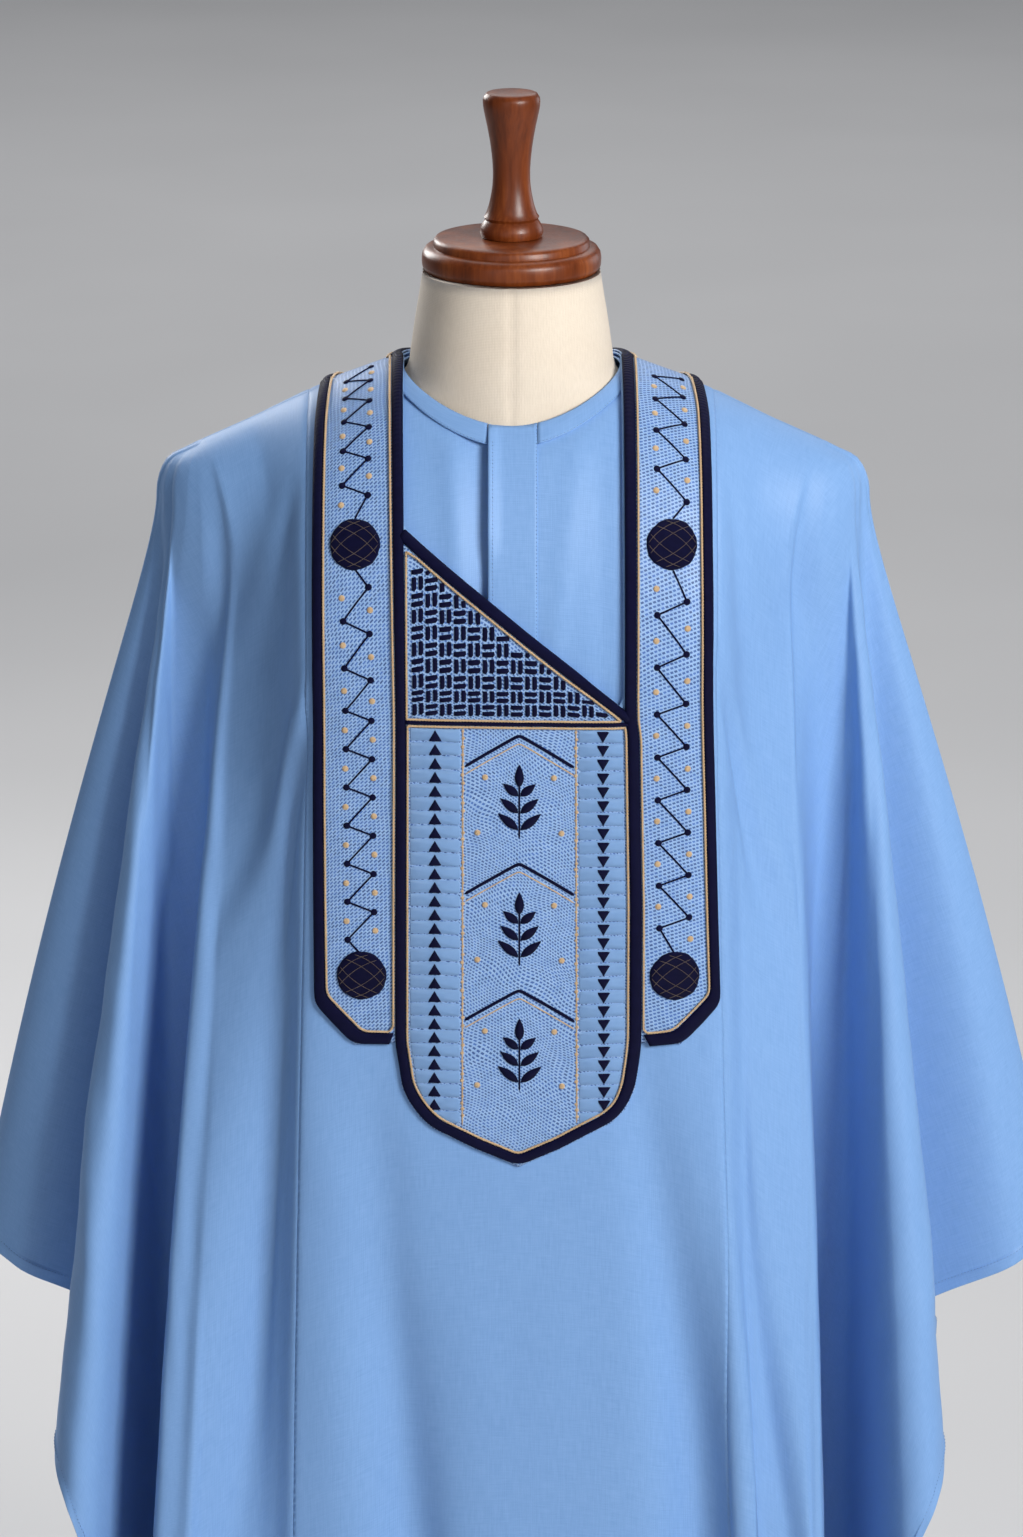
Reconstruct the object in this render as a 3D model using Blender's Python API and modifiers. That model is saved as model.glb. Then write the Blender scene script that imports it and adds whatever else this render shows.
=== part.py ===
"""Grand boubou robe on a limbless dress form with a turned wooden cap and a round stand.

The robe is cut from straight panels: a centre panel and two wide wings, front and back. Worn, each wing
hangs from the shoulder point in deep folds. Every fold line is a row of a table below, and a smooth curve
through the fold lines at each level gives the cloth, so all panels meet at their seams.
Metres, +Z up, the front faces -Y, and the origin is on the floor under the stand.
"""

import math
from collections import namedtuple

import bmesh
import bpy
import numpy as np
from mathutils import Vector
from mathutils.geometry import delaunay_2d_cdt

# ---------------------------------------------------------------- cut of the robe
CLOTH = 0.0016  # thickness of a cloth wall
SEAM_GAP = 0.0003  # clearance between two pieces
FOLD_GAP = 0.00095  # middle of the wall to the middle plane, where front and back meet over the arm
SIDE_GAP = 0.0011  # middle of the wall to the middle plane, where front and back are sewn at the sides
LENGTH = 1.24  # shoulder point to hem, down the grain
SLEEVE = 0.625  # shoulder point to the sleeve opening, along the top fold
SHOULDER_TOP = 1.441  # height of the shoulder points above the floor
SLOPE_START = 0.04  # how softly a fold leaves the shoulder
SPREAD_EASE = 0.36  # how much the outward spread of the folds slackens, per metre

# One row for each fold line, from the centre line outwards. Rows 2 and 4 are the seam and the shoulder point.
SEAM_FOLD = 2
SHOULDER_FOLD = 4

#   across  where it leaves the shoulder line, from the centre
#   top     height of that point
#   fan     angle of the fold round the shoulder point in the flat cut: 0 down the grain, 90 along the top fold
#   plan    direction in which it first leaves the shoulder: 0 straight forward, 90 straight sideways
#   reach, drop  how far it goes out and down before it hangs freely
#   out, fwd     its slope outwards and forwards below that, in metres per metre
Fold = namedtuple("Fold", "name across top fan plan reach drop out fwd")

FRONT_LEFT = [
    Fold("centre", 0.000, 1.505, 0, 0, 0.132, 0.200, 0.000, 0.030),
    Fold("chest", 0.074, 1.498, 0, 0, 0.130, 0.195, 0.012, 0.030),
    Fold("seam", 0.137, 1.474, 0, 0, 0.120, 0.180, 0.034, 0.045),
    Fold("panel", 0.178, 1.455, 0, -14, 0.088, 0.130, 0.050, 0.100),
    Fold("shoulder", 0.209, 1.441, 0, -26, 0.058, 0.076, 0.074, 0.145),
    Fold("body_edge", 0.209, 1.441, 9, -24, 0.048, 0.062, 0.118, 0.150),
    Fold("valley_in", 0.209, 1.441, 25, 0, 0.036, 0.048, 0.004, -0.0265),
    Fold("valley_out", 0.209, 1.441, 33, 30, 0.034, 0.045, 0.045, -0.0265),
    Fold("ridge_in", 0.209, 1.441, 50, 40, 0.033, 0.043, 0.120, 0.160),
    Fold("ridge", 0.209, 1.441, 55, 45, 0.029, 0.039, 0.160, 0.175),
    Fold("ridge_edge", 0.209, 1.441, 59, 50, 0.029, 0.039, 0.181, 0.140),
    Fold("behind_in", 0.209, 1.441, 68, 62, 0.030, 0.036, 0.070, 0.050),
    Fold("behind_out", 0.209, 1.441, 74, 70, 0.030, 0.036, 0.120, 0.020),
    Fold("flap", 0.209, 1.441, 82, 80, 0.031, 0.036, 0.255, 0.050),
    Fold("top_fold", 0.209, 1.441, 90, 90, 0.032, 0.036, 0.325, 0.000),
]
FRONT_RIGHT = [
    Fold("centre", 0.000, 1.505, 0, 0, 0.132, 0.200, 0.000, 0.030),
    Fold("chest", 0.074, 1.498, 0, 0, 0.130, 0.195, 0.012, 0.030),
    Fold("seam", 0.137, 1.474, 0, 0, 0.120, 0.180, 0.034, 0.040),
    Fold("panel", 0.178, 1.455, 0, -14, 0.088, 0.130, 0.045, 0.096),
    Fold("shoulder", 0.209, 1.441, 0, -26, 0.058, 0.076, 0.047, 0.135),
    Fold("body_edge", 0.209, 1.441, 9, -26, 0.048, 0.062, 0.058, 0.140),
    Fold("valley_in", 0.209, 1.441, 25, 0, 0.036, 0.048, 0.004, -0.0265),
    Fold("valley_out", 0.209, 1.441, 33, 28, 0.034, 0.045, 0.030, -0.0270),
    Fold("ridge_in", 0.209, 1.441, 50, 40, 0.033, 0.043, 0.085, 0.160),
    Fold("ridge", 0.209, 1.441, 55, 48, 0.032, 0.042, 0.125, 0.170),
    Fold("ridge_edge", 0.209, 1.441, 59, 52, 0.030, 0.039, 0.144, 0.140),
    Fold("behind_in", 0.209, 1.441, 68, 62, 0.030, 0.036, 0.060, 0.050),
    Fold("behind_out", 0.209, 1.441, 74, 70, 0.030, 0.036, 0.110, 0.020),
    Fold("flap", 0.209, 1.441, 82, 80, 0.033, 0.036, 0.272, 0.050),
    Fold("top_fold", 0.209, 1.441, 90, 90, 0.034, 0.036, 0.342, 0.000),
]
BACK_LEFT = [
    Fold("centre", 0.000, 1.530, 0, 0, 0.110, 0.170, 0.000, 0.045),
    Fold("nape", 0.074, 1.498, 0, 0, 0.112, 0.170, 0.012, 0.045),
    Fold("seam", 0.137, 1.474, 0, 0, 0.106, 0.165, 0.030, 0.050),
    Fold("panel", 0.178, 1.455, 0, -8, 0.080, 0.120, 0.042, 0.080),
    Fold("shoulder", 0.209, 1.441, 0, -20, 0.054, 0.070, 0.055, 0.112),
    Fold("body_edge", 0.209, 1.441, 10, -22, 0.044, 0.056, 0.085, 0.128),
    Fold("valley_in", 0.209, 1.441, 25, 8, 0.036, 0.048, 0.004, -0.0265),
    Fold("valley_out", 0.209, 1.441, 33, 30, 0.034, 0.045, 0.040, -0.0265),
    Fold("ridge_in", 0.209, 1.441, 48, 42, 0.032, 0.042, 0.070, 0.120),
    Fold("ridge", 0.209, 1.441, 55, 48, 0.032, 0.042, 0.120, 0.140),
    Fold("ridge_edge", 0.209, 1.441, 61, 54, 0.032, 0.040, 0.150, 0.105),
    Fold("behind", 0.209, 1.441, 72, 66, 0.030, 0.036, 0.085, 0.035),
    Fold("flap", 0.209, 1.441, 82, 80, 0.031, 0.036, 0.250, 0.055),
]
BACK_RIGHT = [
    Fold("centre", 0.000, 1.530, 0, 0, 0.110, 0.170, 0.000, 0.045),
    Fold("nape", 0.074, 1.498, 0, 0, 0.112, 0.170, 0.012, 0.045),
    Fold("seam", 0.137, 1.474, 0, 0, 0.106, 0.165, 0.034, 0.045),
    Fold("panel", 0.178, 1.455, 0, -8, 0.080, 0.120, 0.050, 0.080),
    Fold("shoulder", 0.209, 1.441, 0, -18, 0.054, 0.070, 0.060, 0.105),
    Fold("body_edge", 0.209, 1.441, 11, -22, 0.044, 0.056, 0.075, 0.128),
    Fold("valley_in", 0.209, 1.441, 25, 8, 0.036, 0.048, 0.004, -0.0265),
    Fold("valley_out", 0.209, 1.441, 33, 30, 0.034, 0.045, 0.040, -0.0265),
    Fold("ridge_in", 0.209, 1.441, 47, 42, 0.032, 0.042, 0.080, 0.110),
    Fold("ridge", 0.209, 1.441, 54, 48, 0.032, 0.042, 0.125, 0.135),
    Fold("ridge_edge", 0.209, 1.441, 60, 54, 0.032, 0.040, 0.160, 0.100),
    Fold("behind", 0.209, 1.441, 72, 66, 0.030, 0.036, 0.085, 0.035),
    Fold("flap", 0.209, 1.441, 82, 80, 0.031, 0.036, 0.250, 0.055),
]

# Soft folds between the fold lines. place counts along the fold rows of that quarter, width is in the same steps,
# the fold grows from the level `start` to the level `full`, and depth is how far it stands out there.
Ripple = namedtuple("Ripple", "quarter place width start full depth")
RIPPLES = [
    Ripple("front_left", 0.85, 0.50, 0.42, 0.85, -0.010),
    Ripple("front_left", 1.70, 0.45, 0.45, 0.95, 0.007),
    Ripple("front_left", 2.75, 0.60, 0.35, 0.90, -0.012),
    Ripple("front_left", 2.35, 0.40, 0.10, 0.30, -0.004),
    Ripple("front_right", 1.62, 0.42, 0.42, 0.85, -0.012),
    Ripple("front_right", 2.25, 0.40, 0.42, 0.90, 0.009),
    Ripple("front_right", 3.00, 0.50, 0.45, 0.90, -0.009),
    Ripple("front_right", 2.50, 0.35, 0.12, 0.30, -0.005),
    Ripple("back_left", 0.70, 0.50, 0.35, 0.80, -0.012),
    Ripple("back_left", 1.60, 0.50, 0.40, 0.90, 0.010),
    Ripple("back_left", 2.70, 0.60, 0.25, 0.80, -0.014),
    Ripple("back_right", 0.55, 0.50, 0.35, 0.85, 0.008),
    Ripple("back_right", 1.45, 0.50, 0.40, 0.90, -0.013),
    Ripple("back_right", 2.75, 0.60, 0.25, 0.85, -0.012),
]


def ring_of_folds():
    """All fold lines once round the robe, as (fold, side, face): side -1 at the viewer's left, face -1 in front."""
    ring = [(f, -1, -1) for f in FRONT_LEFT]
    ring += [(f, -1, 1) for f in reversed(BACK_LEFT)]
    ring += [(f, 1, 1) for f in BACK_RIGHT[1:]]
    ring += [(f, 1, -1) for f in reversed(FRONT_RIGHT[1:])]
    return ring


RING = ring_of_folds()
TURN = len(RING)
BACK_CENTRE = len(FRONT_LEFT) + len(BACK_LEFT) - 1
QUARTERS = {
    "front_left": (0, 1),
    "front_right": (TURN, -1),
    "back_left": (BACK_CENTRE, -1),
    "back_right": (BACK_CENTRE, 1),
}


def hem_length(across_top, fan):
    """Length of the cloth from the shoulder to its edge, down a line of the cut."""
    corner = math.atan2(SLEEVE, LENGTH)
    angle = np.radians(fan)
    down = LENGTH / np.cos(np.minimum(angle, corner))
    side = SLEEVE / np.sin(np.maximum(angle, corner))
    return np.where(angle <= corner, down, side) + (across_top - SHOULDER_TOP)


def fold_point(fold, side, face, length):
    """The point on a fold line at a length of cloth below the shoulder line."""
    arc = math.pi / 2 * math.sqrt((fold.reach**2 + fold.drop**2) / 2)
    turn = np.minimum(length / arc, 1) * math.pi / 2
    free = np.maximum(length - arc, 0)
    slope = free * free / (free + SLOPE_START)
    plan = math.radians(fold.plan)
    outwards = fold.across + fold.reach * math.sin(plan) * np.sin(turn)
    outwards = outwards + fold.out * slope * (1 - SPREAD_EASE * free)
    forwards = fold.reach * math.cos(plan) * np.sin(turn) + fold.fwd * slope
    fall = math.sqrt(1 - fold.out**2 - fold.fwd**2)
    height = fold.top - fold.drop * (1 - np.cos(turn)) - fall * free
    return np.stack([side * outwards, face * forwards, height], axis=-1)


def between(p0, p1, p2, p3, f):
    """Centripetal Catmull-Rom curve from p1 to p2, at the share f of the way."""
    k0 = np.sqrt(np.linalg.norm(p1 - p0, axis=-1, keepdims=True) + 1e-9)
    k1 = np.sqrt(np.linalg.norm(p2 - p1, axis=-1, keepdims=True) + 1e-9)
    k2 = np.sqrt(np.linalg.norm(p3 - p2, axis=-1, keepdims=True) + 1e-9)
    t1, t2 = k0, k0 + k1
    t3, t = k0 + k1 + k2, k0 + k1 * f
    a1 = (t1 - t) / t1 * p0 + t / t1 * p1
    a2 = (t2 - t) / k1 * p1 + (t - t1) / k1 * p2
    a3 = (t3 - t) / k2 * p2 + (t - t2) / k2 * p3
    b1 = (t2 - t) / t2 * a1 + t / t2 * a2
    b2 = (t3 - t) / (t3 - t1) * a2 + (t - t1) / (t3 - t1) * a3
    return (t2 - t) / k1 * b1 + (t - t1) / k1 * b2


def smooth(x):
    """0 below 0, 1 above 1, and an even bend between."""
    x = np.clip(x, 0, 1)
    return x * x * (3 - 2 * x)


def soft_folds(place, level):
    """How far the soft folds move the cloth away from the middle of the robe."""
    total = np.zeros(place.shape)
    for row in RIPPLES:
        start, step = QUARTERS[row.quarter]
        gap = place - (start + step * row.place)
        gap = np.abs((gap + TURN / 2) % TURN - TURN / 2) / row.width
        total = total + row.depth * np.exp(-gap * gap * 2) * smooth((level - row.start) / (row.full - row.start))
    return total


def cloth_point(place, level):
    """The robe's surface. place is a fold's number in RING, with fractions between folds, and level runs from 0 at the
    shoulder line to 1 at the edge of the cloth."""
    place, level = np.broadcast_arrays(np.asarray(place, float), np.asarray(level, float))
    first = np.floor(place).astype(int)
    share = (place - first)[..., None]
    corners = []
    for step in (-1, 0, 1, 2):
        points = np.zeros(place.shape + (3,))
        index = (first + step) % TURN
        for k in np.unique(index):
            fold, side, face = RING[k]
            at = index == k
            length = level[at] * hem_length(fold.top, fold.fan)
            points[at] = fold_point(fold, side, face, length)
        corners.append(points)
    found = between(*corners, share)
    turn = place % TURN
    front = (turn < len(FRONT_LEFT)) | (turn > TURN - len(FRONT_RIGHT))
    face = np.where(front, -1, 1)
    depth = face * found[..., 1] + soft_folds(turn, level)
    # low down the sides the front lies against the back, where they are sewn together
    fold = np.minimum(np.minimum(turn, TURN - turn), np.abs(turn - BACK_CENTRE))
    apart = SIDE_GAP + (depth + np.sqrt(depth * depth + 4 * SIDE_GAP**2)) / 2
    low = smooth((level - 0.25) / 0.25) * smooth(9.5 - fold)
    found[..., 1] = face * (depth + (apart - depth) * low)
    return found


def cloth_normal(place, level):
    """Unit normal of the robe's surface, pointing away from the body."""
    step_p, step_l = 0.004, 0.0006
    along = cloth_point(place + step_p, level) - cloth_point(place - step_p, level)
    down = cloth_point(place, level + step_l) - cloth_point(place, np.maximum(level - step_l, 0))
    normal = np.cross(along, down)
    size = np.linalg.norm(normal, axis=-1, keepdims=True)
    return normal / np.maximum(size, 1e-12)


# ---------------------------------------------------------------- pattern of the centre panels
# across and down are measured on the cloth: across from the centre line, down from the shoulder line.
ACROSS = [0.0, 0.074, 0.137, 0.178, 0.209]
TOPS = {-1: [1.505, 1.498, 1.474, 1.455, 1.441], 1: [1.530, 1.498, 1.474, 1.455, 1.441]}

BAND_LEFT = [
    (-0.0736, 0.0008), (-0.1272, 0.0008), (-0.1289, 0.0654), (-0.1287, 0.1545), (-0.1292, 0.2603), (-0.1270, 0.3869),
    (-0.1249, 0.4593), (-0.0993, 0.5000), (-0.0728, 0.5080), (-0.0728, 0.4084), (-0.0727, 0.2830), (-0.0727, 0.1680),
    (-0.0731, 0.1100), (-0.0735, 0.0668),
]
BAND_RIGHT = [
    (0.0748, 0.0008), (0.0750, 0.0863), (0.0750, 0.1669), (0.0758, 0.2700), (0.0790, 0.2830), (0.0812, 0.4057),
    (0.0818, 0.5058), (0.1067, 0.4965), (0.1339, 0.4547), (0.1332, 0.4000), (0.1318, 0.2592), (0.1300, 0.1541),
    (0.1300, 0.0525), (0.1272, 0.0008),
]
TRIANGLE = [(-0.0727, 0.1680), (-0.0727, 0.2830), (0.0790, 0.2830), (0.0758, 0.2790)]  # sides 1 and 3 run straight
POCKET = [
    (-0.0727, 0.2830), (-0.0728, 0.4084), (-0.0728, 0.5080), (-0.0733, 0.5263), (-0.0715, 0.5400), (-0.0664, 0.5518),
    (-0.0590, 0.5637), (-0.0504, 0.5728), (-0.0237, 0.5895), (0.0042, 0.6036), (0.0315, 0.5889), (0.0650, 0.5664),
    (0.0745, 0.5554), (0.0800, 0.5400), (0.0824, 0.5234), (0.0818, 0.5058), (0.0812, 0.4057), (0.0790, 0.2830),
]
FRONT_PANEL = [
    (0.1370, 0.0004), (0.0735, 0.0004), (0.0735, 0.0863),
    (0.0735, 0.1669), (0.0742, 0.2660), (0.0716, 0.2725), (-0.0690, 0.1685), (-0.0718, 0.1640), (-0.0718, 0.1100),
    (-0.0722, 0.0668), (-0.0724, 0.0004), (-0.1370, 0.0004),
]

# Navy edges, as lines through the middle of the ribbon, with its width.
Ribbon = namedtuple("Ribbon", "name width line")
RIBBONS = [
    Ribbon("edge_left", 0.0078, [
        (-0.1237, 0.0010), (-0.1254, 0.0654), (-0.1252, 0.1545), (-0.1257, 0.2603), (-0.1235, 0.3869),
        (-0.1216, 0.4575), (-0.0978, 0.4962), (-0.0782, 0.5035),
    ]),
    Ribbon("edge_right", 0.0078, [
        (0.1237, 0.0010), (0.1266, 0.0525), (0.1266, 0.1541), (0.1283, 0.2592), (0.1297, 0.4000), (0.1304, 0.4532),
        (0.1052, 0.4925), (0.0872, 0.5022),
    ]),
    Ribbon("edge_centre", 0.0072, [
        (-0.0762, 0.0010), (-0.0757, 0.0668), (-0.0752, 0.1100), (-0.0745, 0.1680), (-0.0730, 0.2830),
        (-0.0728, 0.4084), (-0.0725, 0.5080), (-0.0697, 0.5263), (-0.0680, 0.5386), (-0.0634, 0.5494),
        (-0.0564, 0.5606), (-0.0485, 0.5692), (-0.0222, 0.5857), (0.0040, 0.5990), (0.0300, 0.5852),
        (0.0628, 0.5630), (0.0712, 0.5532), (0.0765, 0.5388), (0.0788, 0.5234), (0.0806, 0.5058), (0.0812, 0.4057),
        (0.0803, 0.2905), (0.0788, 0.2800), (0.0786, 0.2680), (0.0782, 0.1669), (0.0780, 0.0863), (0.0774, 0.0010),
    ]),
    Ribbon("edge_diagonal", 0.0070, [(-0.0672, 0.1755), (0.0718, 0.2765)]),
]
Roundel = namedtuple("Roundel", "name across down radius")
ROUNDELS = [
    Roundel("roundel_upper_left", -0.1008, 0.1671, 0.0170),
    Roundel("roundel_lower_left", -0.0960, 0.4519, 0.0170),
    Roundel("roundel_upper_right", 0.1032, 0.1661, 0.0170),
    Roundel("roundel_lower_right", 0.1040, 0.4491, 0.0170),
]
FRONT_ROWS = [
    0.0, 0.02, 0.04, 0.06, 0.08, 0.10, 0.12, 0.14, 0.16, 0.18, 0.20, 0.22, 0.245, 0.283, 0.33, 0.38, 0.43, 0.475,
    0.51, 0.555, 0.60, 0.67, 0.75, 0.84, 0.94, 1.05, 1.15,
]
FRONT_COLUMNS = [-0.1370, -0.1050, -0.0727, -0.0360, 0.0, 0.0380, 0.0770, 0.1070, 0.1370]
BACK_COLUMNS = [-0.1370, -0.1050, -0.0740, -0.0370, 0.0, 0.0370, 0.0740, 0.1050, 0.1370]
BACK_ROWS = [
    0.0, 0.02, 0.04, 0.06, 0.08, 0.10, 0.12, 0.14, 0.165, 0.19, 0.22, 0.27, 0.34, 0.43, 0.54, 0.67, 0.80, 0.94,
    1.05, 1.15,
]

# Levels above the cloth's middle surface, from and to.
FILL = (0.0013, 0.0023)
EDGE = (0.0030, 0.0042)
ROUND = (0.0028, 0.0044)
PLACKET = (-0.0040, -0.0024)
INSET = (-0.0066, -0.0050)
WALL = (-CLOTH / 2, CLOTH / 2)


def full_length(across, face):
    """Length of the cloth to the hem at a distance from the centre line."""
    return hem_length(np.interp(np.abs(across), ACROSS, TOPS[face]), 0.0)


def panel_point(across, down, face, height=0.0):
    """A point of the front (-1) or back (1) centre panel, moved out of the cloth by height."""
    across, down = np.broadcast_arrays(np.asarray(across, float), np.asarray(down, float))
    step = np.interp(np.abs(across), ACROSS, range(5))
    if face < 0:
        place = np.where(across < 0, step, TURN - step)
    else:
        place = BACK_CENTRE + np.where(across < 0, -step, step)
    level = down / full_length(across, face)
    if height == 0.0:
        return cloth_point(place, level)
    return cloth_point(place, level) + height * cloth_normal(place, level)


def straight(a, b, face, steps):
    """Points from a to b on a panel, along a line that is straight when seen from the front."""
    t = np.arange(steps + 1) / steps
    across = a[0] + (b[0] - a[0]) * t
    ends = panel_point(np.array([a[0], b[0]]), np.array([a[1], b[1]]), face)[:, 2]
    height = ends[0] + (ends[1] - ends[0]) * t
    low, high = np.zeros(len(t)), np.full(len(t), 1.0)
    for _ in range(22):
        mid = (low + high) / 2
        above = panel_point(across, mid, face)[:, 2] > height
        low, high = np.where(above, mid, low), np.where(above, high, mid)
    return [a] + [(float(x), float(y)) for x, y in zip(across[1:-1], low[1:-1])] + [b]


# ---------------------------------------------------------------- making solids
def add_object(name, verts, faces, material, edges=()):
    """A mesh object in the part's collection, with its own Principled material."""
    mesh = bpy.data.meshes.new(name)
    mesh.from_pydata([tuple(map(float, v)) for v in verts], list(edges), [tuple(map(int, f)) for f in faces])
    bm = bmesh.new()
    bm.from_mesh(mesh)
    bmesh.ops.triangulate(bm, faces=bm.faces)
    bmesh.ops.recalc_face_normals(bm, faces=bm.faces)
    bm.to_mesh(mesh)
    bm.free()
    made = bpy.data.objects.new(name, mesh)
    PARTS.objects.link(made)
    give_material(made, material)
    return made


def give_material(made, material):
    colour, roughness = MATERIALS[material]
    mat = bpy.data.materials.new(made.name)
    mat.use_nodes = True
    shader = mat.node_tree.nodes["Principled BSDF"]
    shader.inputs["Base Color"].default_value = (*colour, 1.0)
    shader.inputs["Roughness"].default_value = roughness
    made.data.materials.append(mat)


def sheet(name, verts, faces, thickness, material):
    """An open surface made a wall, half its thickness to each side."""
    made = add_object(name, verts, faces, material)
    wall = made.modifiers.new("wall", "SOLIDIFY")
    wall.thickness = thickness
    wall.offset = 0.0
    return made


def turned(name, profile, steps, material):
    """A round solid: a profile of (radius, height) pairs, from the top down, turned about the vertical axis."""
    verts = [(radius, 0.0, height) for radius, height in profile]
    made = add_object(name, verts, [], material, edges=[(k, k + 1) for k in range(len(verts) - 1)])
    lathe = made.modifiers.new("lathe", "SCREW")
    lathe.steps = steps
    lathe.render_steps = steps
    lathe.use_merge_vertices = True
    lathe.merge_threshold = 0.00001
    return made


def loft(name, rings, material):
    """A solid through rings of points, with flat ends."""
    n = len(rings[0])
    verts = np.concatenate(rings)
    faces = []
    for i in range(len(rings) - 1):
        a, b = i * n, (i + 1) * n
        faces += [(a + k, a + (k + 1) % n, b + (k + 1) % n, b + k) for k in range(n)]
    faces.append(tuple(range(n - 1, -1, -1)))
    faces.append(tuple(range(len(verts) - n, len(verts))))
    return add_object(name, verts, faces, material)


def cut_rows(outline, rows):
    """The outline with a point wherever it crosses a row."""
    out = []
    for (x0, y0), (x1, y1) in zip(outline, outline[1:] + outline[:1]):
        out.append((x0, y0))
        steps = [(r - y0) / (y1 - y0) for r in rows if min(y0, y1) + 0.004 < r < max(y0, y1) - 0.004]
        out += [(x0 + (x1 - x0) * t, y0 + (y1 - y0) * t) for t in sorted(steps)]
    return out


def inside(points, outline):
    """Which points lie inside a closed outline."""
    x, y = np.asarray(points).T
    result = np.zeros(len(x), bool)
    for (x0, y0), (x1, y1) in zip(outline, outline[1:] + outline[:1]):
        if y0 == y1:
            continue
        crosses = (y0 > y) != (y1 > y)
        result ^= crosses & (x < (x1 - x0) * (y - y0) / (y1 - y0) + x0)
    return result


def distance_to(points, outline):
    points = np.asarray(points)
    best = np.full(len(points), 1e9)
    for a, b in zip(outline, outline[1:] + outline[:1]):
        a, b = np.array(a), np.array(b)
        t = np.clip((points - a) @ (b - a) / ((b - a) @ (b - a) + 1e-18), 0, 1)
        best = np.minimum(best, np.linalg.norm(points - (a + t[:, None] * (b - a)), axis=1))
    return best


def mesh_of_panel(outlines, columns, rows, clear=0.007):
    """One triangulation shared by a panel and everything that lies on it."""
    outlines = [cut_rows(o, rows) for o in outlines]
    grid = np.array([(c, r) for c in columns for r in rows])
    keep = np.ones(len(grid), bool)
    for o in outlines:
        keep &= distance_to(grid, o) > clear
    points = [tuple(p) for p in grid[keep]]
    edges = []
    for o in outlines:
        first = len(points)
        points += o
        edges += [(first + k, first + (k + 1) % len(o)) for k in range(len(o))]
    verts, _, faces, _, _, _ = delaunay_2d_cdt([Vector(p) for p in points], edges, [], 0, 1e-5)
    verts = np.array([tuple(v) for v in verts])
    faces = np.array([tuple(f) for f in faces])
    a, b, c = verts[faces[:, 0]], verts[faces[:, 1]], verts[faces[:, 2]]
    area = (b - a)[:, 0] * (c - a)[:, 1] - (b - a)[:, 1] * (c - a)[:, 0]
    return verts, faces[np.abs(area) > 1e-9]


def slab(name, mesh, outline, face, levels, material):
    """The triangles of the shared mesh inside an outline, as a sheet between two levels over the cloth."""
    verts, faces = mesh
    faces = faces[inside(verts[faces].mean(axis=1), outline)]
    used, faces = np.unique(faces, return_inverse=True)
    faces = faces.reshape(-1, 3)
    flat = draw_in(verts[used], faces, SEAM_GAP * 0.7)
    points = panel_point(flat[:, 0], flat[:, 1], face, (levels[0] + levels[1]) / 2)
    return sheet(name, points, faces, levels[1] - levels[0], material)


def draw_in(flat, faces, distance):
    """A flat triangle mesh with its boundary moved inwards."""
    a, b, c = flat[faces[:, 0]], flat[faces[:, 1]], flat[faces[:, 2]]
    turned_over = (b - a)[:, 0] * (c - a)[:, 1] < (b - a)[:, 1] * (c - a)[:, 0]
    faces = np.where(turned_over[:, None], faces[:, ::-1], faces)
    sides = {(f[k], f[(k + 1) % 3]) for f in faces for k in range(3)}
    push = np.zeros(flat.shape)
    for i, j in sides:
        if (j, i) not in sides:
            d = flat[j] - flat[i]
            inwards = np.array([-d[1], d[0]]) / np.linalg.norm(d)
            push[i] += inwards
            push[j] += inwards
    size = np.linalg.norm(push, axis=1, keepdims=True)
    return flat + push * distance * 2 / np.maximum(size * size, 0.64)


def offset_line(line, distance):
    """A line moved sideways, with its corners mitred."""
    line = np.asarray(line, float)
    d = np.diff(line, axis=0)
    d /= np.linalg.norm(d, axis=1, keepdims=True)
    n = np.stack([-d[:, 1], d[:, 0]], axis=1)
    n0 = np.vstack([n[:1], n])
    n1 = np.vstack([n, n[-1:]])
    mid = n0 + n1
    mid /= np.linalg.norm(mid, axis=1, keepdims=True)
    return line + mid * (distance / np.sum(mid * n0, axis=1, keepdims=True))


def open_rows(line, longest=0.0150):
    """The line with extra points, so that it follows the panel closely."""
    out = []
    for (x0, y0), (x1, y1) in zip(line, line[1:]):
        limit = longest if min(y0, y1) < 0.27 or abs(x1 - x0) > abs(y1 - y0) else 0.032
        n = max(1, math.ceil(math.hypot(x1 - x0, y1 - y0) / limit))
        out += [(x0 + (x1 - x0) * k / n, y0 + (y1 - y0) * k / n) for k in range(n)]
    return out + [line[-1]]


def ribbon(row, face, levels=EDGE, crown=0.0005):
    """A padded satin edge: flat below, rounded above, following a line on the panel."""
    line = open_rows(row.line)
    half = row.width / 2
    shoulder = levels[1] - crown
    profile = [(-half, levels[0]), (half, levels[0]), (half, shoulder), (0.0, levels[1]), (-half, shoulder)]
    sides = []
    for shift, height in profile:
        side = offset_line(line, shift)
        sides.append(panel_point(side[:, 0], side[:, 1], face, height))
    return loft(row.name, np.stack(sides, axis=1), "navy_thread")


def on_panel(across, down, face, sideways, downwards):
    """Pattern coordinates of points given by true distances from one point of the panel."""
    step = 0.002
    here = panel_point(np.array([across]), np.array([down]), face)[0]
    du = (panel_point(np.array([across + step]), np.array([down]), face)[0] - here) / step
    dv = (panel_point(np.array([across]), np.array([down + step]), face)[0] - here) / step
    dv_unit = dv / np.linalg.norm(dv)
    lean = du @ dv_unit
    wide = np.linalg.norm(du - lean * dv_unit)
    x = sideways / wide
    return across + x, down + (downwards - lean * x) / np.linalg.norm(dv)


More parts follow.
